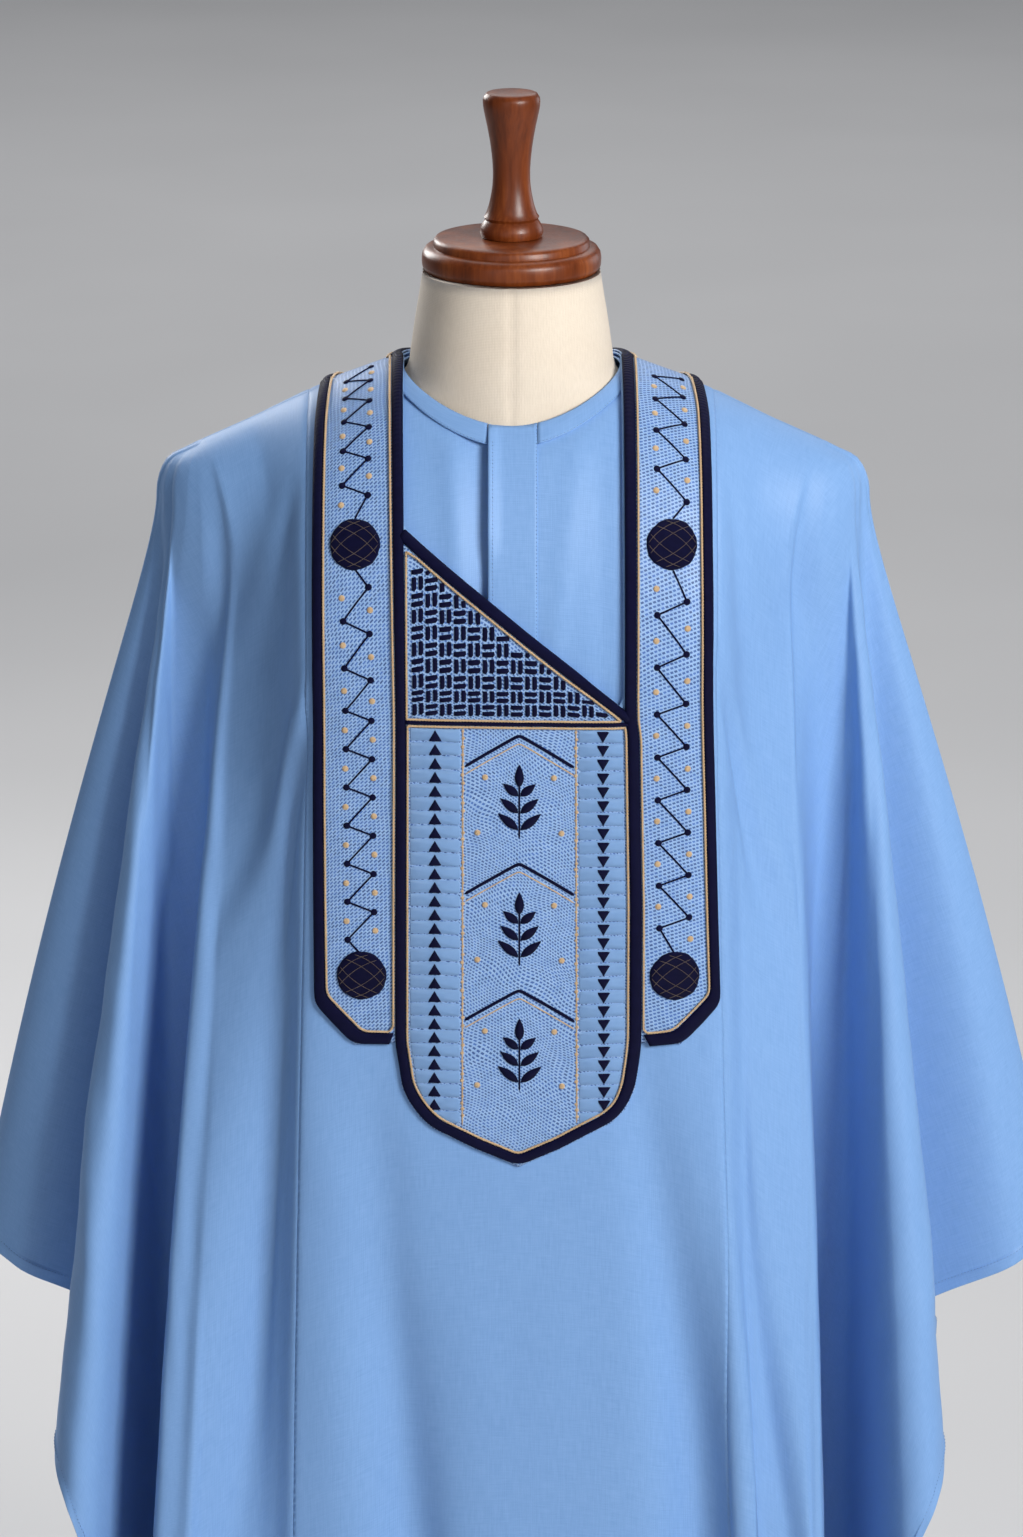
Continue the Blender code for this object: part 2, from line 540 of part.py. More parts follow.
def roundel(row, face, count=16):
    """A low padded disc of thread."""
    turn = np.arange(count) * math.tau / count
    across, down, faces = [row.across], [row.down], []
    for share in (0.5, 1.0):
        radius = row.radius * share
        x, y = on_panel(row.across, row.down, face, radius * np.cos(turn), radius * np.sin(turn))
        across += list(x)
        down += list(y)
    for k in range(count):
        inner, after = 1 + k, 1 + (k + 1) % count
        faces.append((0, inner, after))
        faces.append((inner, inner + count, after + count, after))
    points = panel_point(np.array(across), np.array(down), face, (ROUND[0] + ROUND[1]) / 2)
    return sheet(row.name, points, faces, ROUND[1] - ROUND[0], "navy_thread")


# ---------------------------------------------------------------- pieces of the robe
WING_LEVELS = [
    0.0070, 0.0150, 0.0250, 0.0380, 0.0560, 0.0850, 0.1250, 0.1800, 0.2600, 0.3700, 0.5100, 0.6700, 0.8300, 1.0,
]


def wing(name, quarter, folds):
    """One wing: a short run of shoulder seam, then the fan of folds round the shoulder point."""
    start, step = QUARTERS[quarter]
    face = -1 if quarter.startswith("front") else 1
    side = -1 if quarter.endswith("left") else 1
    top_fold = len(folds) - 1 if face < 0 else len(folds)
    steps = [SEAM_FOLD, 2.5, 3, 3.5]
    apex = len(steps)
    for k in range(SHOULDER_FOLD, top_fold):
        steps += [k, k + 1 / 3, k + 2 / 3]
    steps.append(top_fold)
    places = start + step * np.array(steps, float)
    p, l = np.meshgrid(places, WING_LEVELS, indexing="ij")
    columns, rows = p.shape
    points = cloth_point(p, l)
    points[..., 1] = face * np.maximum(face * points[..., 1], FOLD_GAP)
    top = cloth_point(places[:apex + 1], np.zeros(apex + 1))
    top[:, 1] = face * FOLD_GAP
    for edge in (points[0], top[:1]):
        edge[:, 0] += side * SEAM_GAP * 2.6
    verts = np.concatenate([points.reshape(-1, 3), top])

    def at(column, row):
        return column * rows + row if row >= 0 else columns * rows + min(column, apex)

    faces = []
    for c in range(columns - 1):
        for r in range(-1, rows - 1):
            corners = [at(c, r), at(c, r + 1), at(c + 1, r + 1), at(c + 1, r)]
            faces.append(tuple(dict.fromkeys(corners)))
    return sheet(name, verts, faces, CLOTH, "robe_cloth")


def length_at_depth(across, depth, face):
    """How far down the cloth it has come out from the shoulder line by depth."""
    across, depth = np.atleast_1d(across), np.atleast_1d(depth)
    low, high = np.zeros(across.shape), np.full(across.shape, 0.22)
    for _ in range(18):
        mid = (low + high) / 2
        short = np.abs(panel_point(across, mid, face)[..., 1]) < depth
        low, high = np.where(short, mid, low), np.where(short, high, mid)
    return low


def neck_curve(face, half_width, half_depth, centre, count):
    """Points (across, down) on a panel where it meets an oval tube round the neck."""
    a = math.pi * np.arange(count + 1) / count - math.pi / 2
    x = half_width * np.sin(a)
    depth = face * centre + half_depth * np.cos(a)
    down = np.maximum(length_at_depth(x, depth, face), 0.0006)
    return [(float(u), float(v)) for u, v in zip(x, down)]


def hem_line(columns, face):
    """The hem of a centre panel from left to right."""
    fine = []
    for a, b in zip(columns, columns[1:]):
        fine += [a, (a + b) / 2]
    fine.append(columns[-1])
    return [(u, float(full_length(u, face))) for u in fine]


def centre_panels():
    front = hem_line(FRONT_COLUMNS, -1) + FRONT_PANEL
    bar = straight(TRIANGLE[1], TRIANGLE[2], -1, 6)
    slope = straight(TRIANGLE[3], TRIANGLE[0], -1, 8)
    triangle = bar + slope[:-1] + [TRIANGLE[0]]
    pocket = POCKET[:-1] + bar[::-1][:-1]
    pocket = pocket[1:] + [bar[0]]
    k = front.index((0.0716, 0.2725))
    front[k:k + 2] = straight(front[k], front[k + 1], -1, 8)
    mesh = mesh_of_panel([front, BAND_LEFT, BAND_RIGHT, triangle, pocket], FRONT_COLUMNS, FRONT_ROWS)
    slab("front_centre", mesh, front, -1, WALL, "robe_cloth")
    slab("bib_band_left", mesh, BAND_LEFT, -1, FILL, "bib_thread")
    slab("bib_band_right", mesh, BAND_RIGHT, -1, FILL, "bib_thread")
    slab("bib_triangle", mesh, triangle, -1, FILL, "bib_thread")
    slab("bib_pocket", mesh, pocket, -1, FILL, "bib_thread")
    for row in RIBBONS:
        if row.name == "edge_diagonal":
            row = row._replace(line=straight(row.line[0], row.line[-1], -1, 12))
        ribbon(row, -1)
    for row in ROUNDELS:
        roundel(row, -1)

    inner = neck_curve(1, 0.0740, 0.0800, -0.004, 12)
    outer = neck_curve(1, 0.1272, 0.1180, -0.004, 12)
    back = hem_line(BACK_COLUMNS, 1) + [(0.1370, 0.0004)] + list(reversed(inner)) + [(-0.1370, 0.0004)]
    band = outer + list(reversed(inner))
    mesh = mesh_of_panel([back, band], BACK_COLUMNS, BACK_ROWS)
    slab("back_centre", mesh, back, 1, WALL, "robe_cloth")
    slab("neck_band_back", mesh, band, 1, FILL, "bib_thread")
    inner_line = offset_line(inner, 0.0040)
    outer_line = offset_line(outer, -0.0040)
    for name, line in (("edge_back_inner", inner_line), ("edge_back_outer", outer_line)):
        line[0, 1] = line[-1, 1] = 0.0010
        ribbon(Ribbon(name, 0.0074, [tuple(p) for p in line]), 1)


# ---------------------------------------------------------------- front sewn in behind the opening
INSET_ROWS = [0.04, 0.06, 0.08, 0.10, 0.12, 0.14, 0.16, 0.18, 0.20, 0.22, 0.245, 0.283]
PLACKET_SIDES = (-0.0155, 0.0170)
NECK_CENTRE = -0.004
NECK_HALF_WIDTH = 0.0742
NECK_HALF_DEPTH = 0.0705
NECK_BAND = 0.0105
TUCK = 0.003  # the inset's edge starts this far under its neck band


def diagonal(across):
    """Down to which the opening reaches."""
    return 0.1685 + (across + 0.069) * (0.2725 - 0.1685) / (0.0716 + 0.069)


def inset():
    neck = neck_curve(-1, NECK_HALF_WIDTH + TUCK, NECK_HALF_DEPTH + TUCK, NECK_CENTRE, 24)
    left = [(x, y) for x, y in neck if -0.0735 < x < -0.0030]
    right = [(x, y) for x, y in neck if 0.0030 < x < 0.0735]
    edge = 0.0026
    left = [(-0.0850, left[0][1])] + left + [(-edge, neck[12][1])]
    left += [(-edge, diagonal(-edge) + 0.016), (-0.0850, diagonal(-0.085) + 0.016)]
    right = [(edge, neck[12][1])] + right + [(0.0850, right[-1][1])]
    right += [(0.0850, diagonal(0.085) + 0.016), (edge, diagonal(edge) + 0.016)]
    for name, outline in (("inset_left", left), ("inset_right", right)):
        columns = [-0.066, -0.044, -0.022] if name.endswith("left") else [0.022, 0.044, 0.066]
        mesh = mesh_of_panel([outline], columns, INSET_ROWS)
        slab(name, mesh, outline, -1, INSET, "robe_cloth")
    a, b = PLACKET_SIDES
    top = [(x, y) for x, y in neck_curve(-1, NECK_HALF_WIDTH, NECK_HALF_DEPTH, NECK_CENTRE, 24) if a < x < b]
    outline = [(a, top[0][1] - 0.0008)] + top + [(b, top[-1][1] - 0.0008)]
    outline += [(b, diagonal(b) + 0.012), (a, diagonal(a) + 0.012)]
    mesh = mesh_of_panel([outline], [0.0], INSET_ROWS, clear=0.004)
    slab("placket", mesh, outline, -1, PLACKET, "robe_cloth")


def neck_ring():
    """The narrow neck band of the inset: from the placket round the back of the neck to the placket again."""
    first = math.asin((PLACKET_SIDES[1] + SEAM_GAP * 2) / NECK_HALF_WIDTH)
    last = math.tau - math.asin((SEAM_GAP * 2 - PLACKET_SIDES[0]) / NECK_HALF_WIDTH)
    turn = first + (last - first) * np.arange(41) / 40
    level = (PLACKET[0] + PLACKET[1]) / 2
    lines = []
    for wide in (0.0, NECK_BAND / 2, NECK_BAND):
        x = (NECK_HALF_WIDTH + wide) * np.sin(turn)
        y = NECK_CENTRE - (NECK_HALF_DEPTH + wide) * np.cos(turn)
        line = np.zeros((len(turn), 3))
        for face in (-1, 1):
            at = y < 0 if face < 0 else y >= 0
            line[at] = panel_point(x[at], length_at_depth(x[at], np.abs(y[at]), face), face, level)
        lines.append(line)
    verts = np.concatenate(lines)
    faces = []
    for row in (0, 1):
        for k in range(len(turn) - 1):
            i = row * len(turn) + k
            faces.append((i, i + 1, i + 1 + len(turn), i + len(turn)))
    sheet("inset_neck_band", verts, faces, PLACKET[1] - PLACKET[0], "robe_cloth")


# ---------------------------------------------------------------- dress form and stand
# power 2 is an oval; below 2 the section narrows towards the shoulders.
Section = namedtuple("Section", "height half_width front back power")
FORM = [
    Section(0.7400, 0.1500, 0.1000, 0.1000, 2.20),
    Section(0.7450, 0.1560, 0.1060, 0.1060, 2.20),
    Section(0.8500, 0.1680, 0.1120, 0.1130, 2.20),
    Section(0.9500, 0.1650, 0.1100, 0.1080, 2.20),
    Section(1.0500, 0.1580, 0.1060, 0.0980, 2.20),
    Section(1.2500, 0.1690, 0.1150, 0.1000, 2.20),
    Section(1.3200, 0.1780, 0.1170, 0.1000, 2.10),
    Section(1.3700, 0.1830, 0.1090, 0.0940, 2.00),
    Section(1.4000, 0.1850, 0.0980, 0.0880, 1.90),
    Section(1.4200, 0.1820, 0.0880, 0.0830, 1.80),
    Section(1.4350, 0.1720, 0.0800, 0.0790, 1.65),
    Section(1.4450, 0.1600, 0.0740, 0.0760, 1.55),
    Section(1.4550, 0.1380, 0.0690, 0.0735, 1.50),
    Section(1.4640, 0.1160, 0.0658, 0.0705, 1.50),
    Section(1.4730, 0.0960, 0.0640, 0.0680, 1.60),
    Section(1.4820, 0.0810, 0.0634, 0.0662, 1.80),
    Section(1.4920, 0.0710, 0.0632, 0.0648, 2.00),
    Section(1.5050, 0.0684, 0.0630, 0.0636, 2.00),
    Section(1.5250, 0.0655, 0.0620, 0.0620, 2.00),
    Section(1.5450, 0.0622, 0.0606, 0.0604, 2.00),
    Section(1.5590, 0.0600, 0.0598, 0.0595, 2.00),
]
# Turned profiles as (radius, height), from the top down.
CAP = [
    (0.0, 1.5812), (0.0480, 1.5812), (0.0510, 1.5806), (0.0524, 1.5790), (0.0528, 1.5752), (0.0545, 1.5750),
    (0.0580, 1.5738), (0.0598, 1.5710), (0.0604, 1.5665), (0.0600, 1.5620), (0.0585, 1.5595), (0.0, 1.5595),
]
HANDLE = [
    (0.0, 1.6795), (0.0130, 1.6792), (0.0172, 1.6782), (0.0189, 1.6755), (0.0192, 1.6715), (0.0184, 1.6660),
    (0.0163, 1.6560), (0.0143, 1.6450), (0.0129, 1.6330), (0.0125, 1.6230), (0.0131, 1.6140), (0.0150, 1.6040),
    (0.0172, 1.5972), (0.0186, 1.5950), (0.0178, 1.5930), (0.0190, 1.5915), (0.0209, 1.5880), (0.0212, 1.5840),
    (0.0203, 1.5816), (0.0, 1.5816),
]
BASE = [
    (0.0, 0.0320), (0.0300, 0.0320), (0.0340, 0.0290), (0.0700, 0.0240), (0.1500, 0.0180), (0.1670, 0.0140),
    (0.1700, 0.0100), (0.1700, 0.0020), (0.1680, 0.0), (0.0, 0.0),
]


POLE_RADIUS = 0.015


def form(count=30):
    turn = math.tau * np.arange(count) / count
    rings = []
    for row in FORM:
        depth = np.where(np.sin(turn) < 0, row.front, row.back)
        x = row.half_width * np.sign(np.cos(turn)) * np.abs(np.cos(turn)) ** (2 / row.power)
        y = NECK_CENTRE + depth * np.sign(np.sin(turn)) * np.abs(np.sin(turn)) ** (2 / row.power)
        rings.append(np.stack([x, y, np.full(count, row.height)], axis=1))
    loft("form_torso", rings, "linen")
    turned("neck_cap", CAP, 32, "wood")
    turned("cap_handle", HANDLE, 20, "wood")
    turned("stand_base", BASE, 36, "wood")
    low, high = BASE[0][1] + SEAM_GAP, FORM[0].height - SEAM_GAP
    bpy.ops.mesh.primitive_cylinder_add(vertices=24, radius=POLE_RADIUS, depth=high - low)
    pole = bpy.context.object
    pole.name = pole.data.name = "stand_pole"
    pole.location = (0.0, 0.0, (low + high) / 2)
    for collection in pole.users_collection:
        collection.objects.unlink(pole)
    PARTS.objects.link(pole)
    give_material(pole, "pole_paint")


# ---------------------------------------------------------------- build
MATERIALS = {
    "robe_cloth": ((0.155, 0.330, 0.720), 0.55),
    "bib_thread": ((0.180, 0.350, 0.680), 0.60),
    "navy_thread": ((0.008, 0.010, 0.055), 0.50),
    "linen": ((0.680, 0.560, 0.420), 0.85),
    "wood": ((0.180, 0.048, 0.018), 0.35),
    "pole_paint": ((0.030, 0.022, 0.018), 0.40),
}

for old in list(bpy.data.objects):
    bpy.data.objects.remove(old, do_unlink=True)
PARTS = bpy.data.collections.new("grand_boubou_robe_on_dress_form")
bpy.context.scene.collection.children.link(PARTS)

wing("front_wing_left", "front_left", FRONT_LEFT)
wing("front_wing_right", "front_right", FRONT_RIGHT)
wing("back_wing_left", "back_left", BACK_LEFT)
wing("back_wing_right", "back_right", BACK_RIGHT)
centre_panels()
inset()
neck_ring()
form()
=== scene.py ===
"""Looks of the grand boubou robe on its dress form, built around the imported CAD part.

The robe's surface comes from the same table of fold lines as the solids. On it lie the seams, hems, creases
and the embroidered bib, each thread motif placed in the cut's own coordinates: across from the centre line
and down from the shoulder line, in metres.
"""

import math
from collections import namedtuple

import bpy
import numpy as np
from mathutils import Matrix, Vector
from mathutils.geometry import delaunay_2d_cdt


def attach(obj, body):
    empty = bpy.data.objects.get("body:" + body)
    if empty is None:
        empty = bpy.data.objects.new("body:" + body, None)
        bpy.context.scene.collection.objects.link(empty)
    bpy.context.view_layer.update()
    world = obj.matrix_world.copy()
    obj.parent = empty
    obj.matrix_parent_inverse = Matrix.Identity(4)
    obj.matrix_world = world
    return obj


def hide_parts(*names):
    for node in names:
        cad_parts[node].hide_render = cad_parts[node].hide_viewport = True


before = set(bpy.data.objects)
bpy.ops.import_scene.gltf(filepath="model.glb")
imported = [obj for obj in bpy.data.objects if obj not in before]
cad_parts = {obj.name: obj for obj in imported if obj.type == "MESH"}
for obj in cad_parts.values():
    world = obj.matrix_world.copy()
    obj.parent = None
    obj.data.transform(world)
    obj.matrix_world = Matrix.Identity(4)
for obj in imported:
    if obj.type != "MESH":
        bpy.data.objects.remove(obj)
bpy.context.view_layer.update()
FRONT, BACK = -1, 1  # the two faces of the robe: the front looks along -Y

# ---------------------------------------------------------------- cut of the robe
SEAM_GAP = 0.0003  # clearance between two pieces
SIDE_GAP = 0.0011  # middle of the wall to the middle plane, where front and back are sewn at the sides
SEWN_LEVEL = 0.25  # the side seams begin at this level, and are closed as far again below it
SEWN_FOLDS = 9.5  # and join the cloth out to this fold line
LENGTH = 1.24  # shoulder point to hem, down the grain
SLEEVE = 0.625  # shoulder point to the sleeve opening, along the top fold
CORNER = math.atan2(SLEEVE, LENGTH)  # angle of the cut's lower corner, seen from the shoulder point
SHOULDER_TOP = 1.441  # height of the shoulder points above the floor
SLOPE_START = 0.04  # how softly a fold leaves the shoulder
SPREAD_EASE = 0.36  # how much the outward spread of the folds slackens, per metre

# One row for each fold line, from the centre line outwards. Rows 2 and 4 are the seam and the shoulder point.
SEAM_FOLD = 2
SHOULDER_FOLD = 4

#   across  where it leaves the shoulder line, from the centre
#   top     height of that point
#   fan     angle of the fold in the flat cut, round the shoulder point: 0 down the grain, 90 along the top
#   plan    direction in which it first leaves the shoulder: 0 straight forward, 90 straight sideways
#   reach, drop  how far it goes out and down before it hangs freely
#   out, fwd     its slope outwards and forwards below that, in metres per metre
Fold = namedtuple("Fold", "name across top fan plan reach drop out fwd")

FRONT_LEFT = [
    Fold("centre", 0.000, 1.505, 0, 0, 0.132, 0.200, 0.000, 0.030),
    Fold("chest", 0.074, 1.498, 0, 0, 0.130, 0.195, 0.012, 0.030),
    Fold("seam", 0.137, 1.474, 0, 0, 0.120, 0.180, 0.034, 0.045),
    Fold("panel", 0.178, 1.455, 0, -14, 0.088, 0.130, 0.050, 0.100),
    Fold("shoulder", 0.209, 1.441, 0, -26, 0.058, 0.076, 0.074, 0.145),
    Fold("body_edge", 0.209, 1.441, 9, -24, 0.048, 0.062, 0.118, 0.150),
    Fold("valley_in", 0.209, 1.441, 25, 0, 0.036, 0.048, 0.004, -0.0265),
    Fold("valley_out", 0.209, 1.441, 33, 30, 0.034, 0.045, 0.045, -0.0265),
    Fold("ridge_in", 0.209, 1.441, 50, 40, 0.033, 0.043, 0.120, 0.160),
    Fold("ridge", 0.209, 1.441, 55, 45, 0.029, 0.039, 0.160, 0.175),
    Fold("ridge_edge", 0.209, 1.441, 59, 50, 0.029, 0.039, 0.181, 0.140),
    Fold("behind_in", 0.209, 1.441, 68, 62, 0.030, 0.036, 0.070, 0.050),
    Fold("behind_out", 0.209, 1.441, 74, 70, 0.030, 0.036, 0.120, 0.020),
    Fold("flap", 0.209, 1.441, 82, 80, 0.031, 0.036, 0.255, 0.050),
    Fold("top_fold", 0.209, 1.441, 90, 90, 0.032, 0.036, 0.325, 0.000),
]
FRONT_RIGHT = [
    Fold("centre", 0.000, 1.505, 0, 0, 0.132, 0.200, 0.000, 0.030),
    Fold("chest", 0.074, 1.498, 0, 0, 0.130, 0.195, 0.012, 0.030),
    Fold("seam", 0.137, 1.474, 0, 0, 0.120, 0.180, 0.034, 0.040),
    Fold("panel", 0.178, 1.455, 0, -14, 0.088, 0.130, 0.045, 0.096),
    Fold("shoulder", 0.209, 1.441, 0, -26, 0.058, 0.076, 0.047, 0.135),
    Fold("body_edge", 0.209, 1.441, 9, -26, 0.048, 0.062, 0.058, 0.140),
    Fold("valley_in", 0.209, 1.441, 25, 0, 0.036, 0.048, 0.004, -0.0265),
    Fold("valley_out", 0.209, 1.441, 33, 28, 0.034, 0.045, 0.030, -0.0270),
    Fold("ridge_in", 0.209, 1.441, 50, 40, 0.033, 0.043, 0.085, 0.160),
    Fold("ridge", 0.209, 1.441, 55, 48, 0.032, 0.042, 0.125, 0.170),
    Fold("ridge_edge", 0.209, 1.441, 59, 52, 0.030, 0.039, 0.144, 0.140),
    Fold("behind_in", 0.209, 1.441, 68, 62, 0.030, 0.036, 0.060, 0.050),
    Fold("behind_out", 0.209, 1.441, 74, 70, 0.030, 0.036, 0.110, 0.020),
    Fold("flap", 0.209, 1.441, 82, 80, 0.033, 0.036, 0.272, 0.050),
    Fold("top_fold", 0.209, 1.441, 90, 90, 0.034, 0.036, 0.342, 0.000),
]
BACK_LEFT = [
    Fold("centre", 0.000, 1.530, 0, 0, 0.110, 0.170, 0.000, 0.045),
    Fold("nape", 0.074, 1.498, 0, 0, 0.112, 0.170, 0.012, 0.045),
    Fold("seam", 0.137, 1.474, 0, 0, 0.106, 0.165, 0.030, 0.050),
    Fold("panel", 0.178, 1.455, 0, -8, 0.080, 0.120, 0.042, 0.080),
    Fold("shoulder", 0.209, 1.441, 0, -20, 0.054, 0.070, 0.055, 0.112),
    Fold("body_edge", 0.209, 1.441, 10, -22, 0.044, 0.056, 0.085, 0.128),
    Fold("valley_in", 0.209, 1.441, 25, 8, 0.036, 0.048, 0.004, -0.0265),
    Fold("valley_out", 0.209, 1.441, 33, 30, 0.034, 0.045, 0.040, -0.0265),
    Fold("ridge_in", 0.209, 1.441, 48, 42, 0.032, 0.042, 0.070, 0.120),
    Fold("ridge", 0.209, 1.441, 55, 48, 0.032, 0.042, 0.120, 0.140),
    Fold("ridge_edge", 0.209, 1.441, 61, 54, 0.032, 0.040, 0.150, 0.105),
    Fold("behind", 0.209, 1.441, 72, 66, 0.030, 0.036, 0.085, 0.035),
    Fold("flap", 0.209, 1.441, 82, 80, 0.031, 0.036, 0.250, 0.055),
]
BACK_RIGHT = [
    Fold("centre", 0.000, 1.530, 0, 0, 0.110, 0.170, 0.000, 0.045),
    Fold("nape", 0.074, 1.498, 0, 0, 0.112, 0.170, 0.012, 0.045),
    Fold("seam", 0.137, 1.474, 0, 0, 0.106, 0.165, 0.034, 0.045),
    Fold("panel", 0.178, 1.455, 0, -8, 0.080, 0.120, 0.050, 0.080),
    Fold("shoulder", 0.209, 1.441, 0, -18, 0.054, 0.070, 0.060, 0.105),
    Fold("body_edge", 0.209, 1.441, 11, -22, 0.044, 0.056, 0.075, 0.128),
    Fold("valley_in", 0.209, 1.441, 25, 8, 0.036, 0.048, 0.004, -0.0265),
    Fold("valley_out", 0.209, 1.441, 33, 30, 0.034, 0.045, 0.040, -0.0265),
    Fold("ridge_in", 0.209, 1.441, 47, 42, 0.032, 0.042, 0.080, 0.110),
    Fold("ridge", 0.209, 1.441, 54, 48, 0.032, 0.042, 0.125, 0.135),
    Fold("ridge_edge", 0.209, 1.441, 60, 54, 0.032, 0.040, 0.160, 0.100),
    Fold("behind", 0.209, 1.441, 72, 66, 0.030, 0.036, 0.085, 0.035),
    Fold("flap", 0.209, 1.441, 82, 80, 0.031, 0.036, 0.250, 0.055),
]

# Soft folds between the fold lines, by quarter of the robe: the middle, counted along its fold rows, the
# width in the same steps, the levels where the fold starts and is full, and how far it stands out there.
RIPPLES = {
    "front_left": [
        (0.85, 0.50, 0.42, 0.85, -0.010),
        (1.70, 0.45, 0.45, 0.95, 0.007),
        (2.75, 0.60, 0.35, 0.90, -0.012),
        (2.35, 0.40, 0.10, 0.30, -0.004),
    ],
    "front_right": [
        (1.62, 0.42, 0.42, 0.85, -0.012),
        (2.25, 0.40, 0.42, 0.90, 0.009),
        (3.00, 0.50, 0.45, 0.90, -0.009),
        (2.50, 0.35, 0.12, 0.30, -0.005),
    ],
    "back_left": [
        (0.70, 0.50, 0.35, 0.80, -0.012),
        (1.60, 0.50, 0.40, 0.90, 0.010),
        (2.70, 0.60, 0.25, 0.80, -0.014),
    ],
    "back_right": [
        (0.55, 0.50, 0.35, 0.85, 0.008),
        (1.45, 0.50, 0.40, 0.90, -0.013),
        (2.75, 0.60, 0.25, 0.85, -0.012),
    ],
}


def ring_of_folds():
    """All fold lines once round the robe, as (fold, side, face): side -1 is the viewer's left."""
    ring = [(f, -1, FRONT) for f in FRONT_LEFT]
    ring += [(f, -1, BACK) for f in reversed(BACK_LEFT)]
    ring += [(f, 1, BACK) for f in BACK_RIGHT[1:]]
    ring += [(f, 1, FRONT) for f in reversed(FRONT_RIGHT[1:])]
    return ring


RING = ring_of_folds()
TURN = len(RING)
BACK_CENTRE = len(FRONT_LEFT) + len(BACK_LEFT) - 1
QUARTERS = {
    "front_left": (0, 1),
    "front_right": (TURN, -1),
    "back_left": (BACK_CENTRE, -1),
    "back_right": (BACK_CENTRE, 1),
}


def hem_length(across_top, fan):
    """Length of the cloth from the shoulder to its edge, down a line of the cut."""
    angle = np.radians(fan)
    down = LENGTH / np.cos(np.minimum(angle, CORNER))
    side = SLEEVE / np.sin(np.maximum(angle, CORNER))
    return np.where(angle <= CORNER, down, side) + (across_top - SHOULDER_TOP)


def fold_point(fold, side, face, length):
    """The point on a fold line at a length of cloth below the shoulder line."""
    arc = math.pi / 2 * math.sqrt((fold.reach**2 + fold.drop**2) / 2)
    turn = np.minimum(length / arc, 1) * math.pi / 2
    free = np.maximum(length - arc, 0)
    slope = free * free / (free + SLOPE_START)
    plan = math.radians(fold.plan)
    outwards = fold.across + fold.reach * math.sin(plan) * np.sin(turn)
    outwards = outwards + fold.out * slope * (1 - SPREAD_EASE * free)
    forwards = fold.reach * math.cos(plan) * np.sin(turn) + fold.fwd * slope
    fall = math.sqrt(1 - fold.out**2 - fold.fwd**2)
    height = fold.top - fold.drop * (1 - np.cos(turn)) - fall * free
    return np.stack([side * outwards, face * forwards, height], axis=-1)


def between(p0, p1, p2, p3, f):
    """Centripetal Catmull-Rom curve from p1 to p2, at the share f of the way."""
    k0 = np.sqrt(np.linalg.norm(p1 - p0, axis=-1, keepdims=True) + 1e-9)
    k1 = np.sqrt(np.linalg.norm(p2 - p1, axis=-1, keepdims=True) + 1e-9)
    k2 = np.sqrt(np.linalg.norm(p3 - p2, axis=-1, keepdims=True) + 1e-9)
    t1, t2 = k0, k0 + k1
    t3, t = k0 + k1 + k2, k0 + k1 * f
    a1 = (t1 - t) / t1 * p0 + t / t1 * p1
    a2 = (t2 - t) / k1 * p1 + (t - t1) / k1 * p2
    a3 = (t3 - t) / k2 * p2 + (t - t2) / k2 * p3
    b1 = (t2 - t) / t2 * a1 + t / t2 * a2
    b2 = (t3 - t) / (t3 - t1) * a2 + (t - t1) / (t3 - t1) * a3
    return (t2 - t) / k1 * b1 + (t - t1) / k1 * b2


def smooth(x):
    """0 below 0, 1 above 1, and an even bend between."""
    x = np.clip(x, 0, 1)
    return x * x * (3 - 2 * x)


def bell(x):
    """1 at 0, falling evenly to nothing on both sides."""
    return np.exp(-(x * x))


def unit(vectors):
    return vectors / (np.linalg.norm(vectors, axis=-1, keepdims=True) + 1e-12)


def soft_folds(turn, level):
    """How far the soft folds move the cloth away from the middle of the robe."""
    total = np.zeros(turn.shape)
    for quarter, rows in RIPPLES.items():
        start, step = QUARTERS[quarter]
        for middle, width, first, full, depth in rows:
            gap = (turn - start - step * middle + TURN / 2) % TURN - TURN / 2
            total += depth * bell(gap / width * math.sqrt(2)) * smooth((level - first) / (full - first))
    return total


def fold_number(turn):
    """How many fold lines a place is away from the nearer centre line."""
    return np.minimum(np.minimum(turn, TURN - turn), np.abs(turn - BACK_CENTRE))


def cloth_point(place, level):
    """The robe's surface. place is a fold's number in RING, with fractions between folds, and level runs from
    0 at the shoulder line to 1 at the edge of the cloth."""
    place, level = np.broadcast_arrays(np.asarray(place, float), np.asarray(level, float))
    first = np.floor(place).astype(int)
    corners = []
    for step in (-1, 0, 1, 2):
        points = np.zeros(place.shape + (3,))
        index = (first + step) % TURN
        for k in np.unique(index):
            fold, side, face = RING[k]
            at = index == k
            points[at] = fold_point(fold, side, face, level[at] * hem_length(fold.top, fold.fan))
        corners.append(points)
    found = between(*corners, (place - first)[..., None])
    turn = place % TURN
    in_front = (turn < len(FRONT_LEFT)) | (turn > TURN - len(FRONT_RIGHT))
    face = np.where(in_front, FRONT, BACK)
    depth = face * found[..., 1] + soft_folds(turn, level)
    # low down the sides the front lies against the back, where they are sewn together
    apart = SIDE_GAP + (depth + np.sqrt(depth * depth + 4 * SIDE_GAP**2)) / 2
    sewn = smooth((level - SEWN_LEVEL) / SEWN_LEVEL) * smooth(SEWN_FOLDS - fold_number(turn))
    found[..., 1] = face * (depth + (apart - depth) * sewn)
    return found


def cloth_normal(place, level):
    """Unit normal of the robe's surface, pointing away from the body."""
    step_place, step_level = 0.004, 0.0006
    along = cloth_point(place + step_place, level) - cloth_point(place - step_place, level)
    down = cloth_point(place, level + step_level) - cloth_point(place, np.maximum(level - step_level, 0))
    return unit(np.cross(along, down))


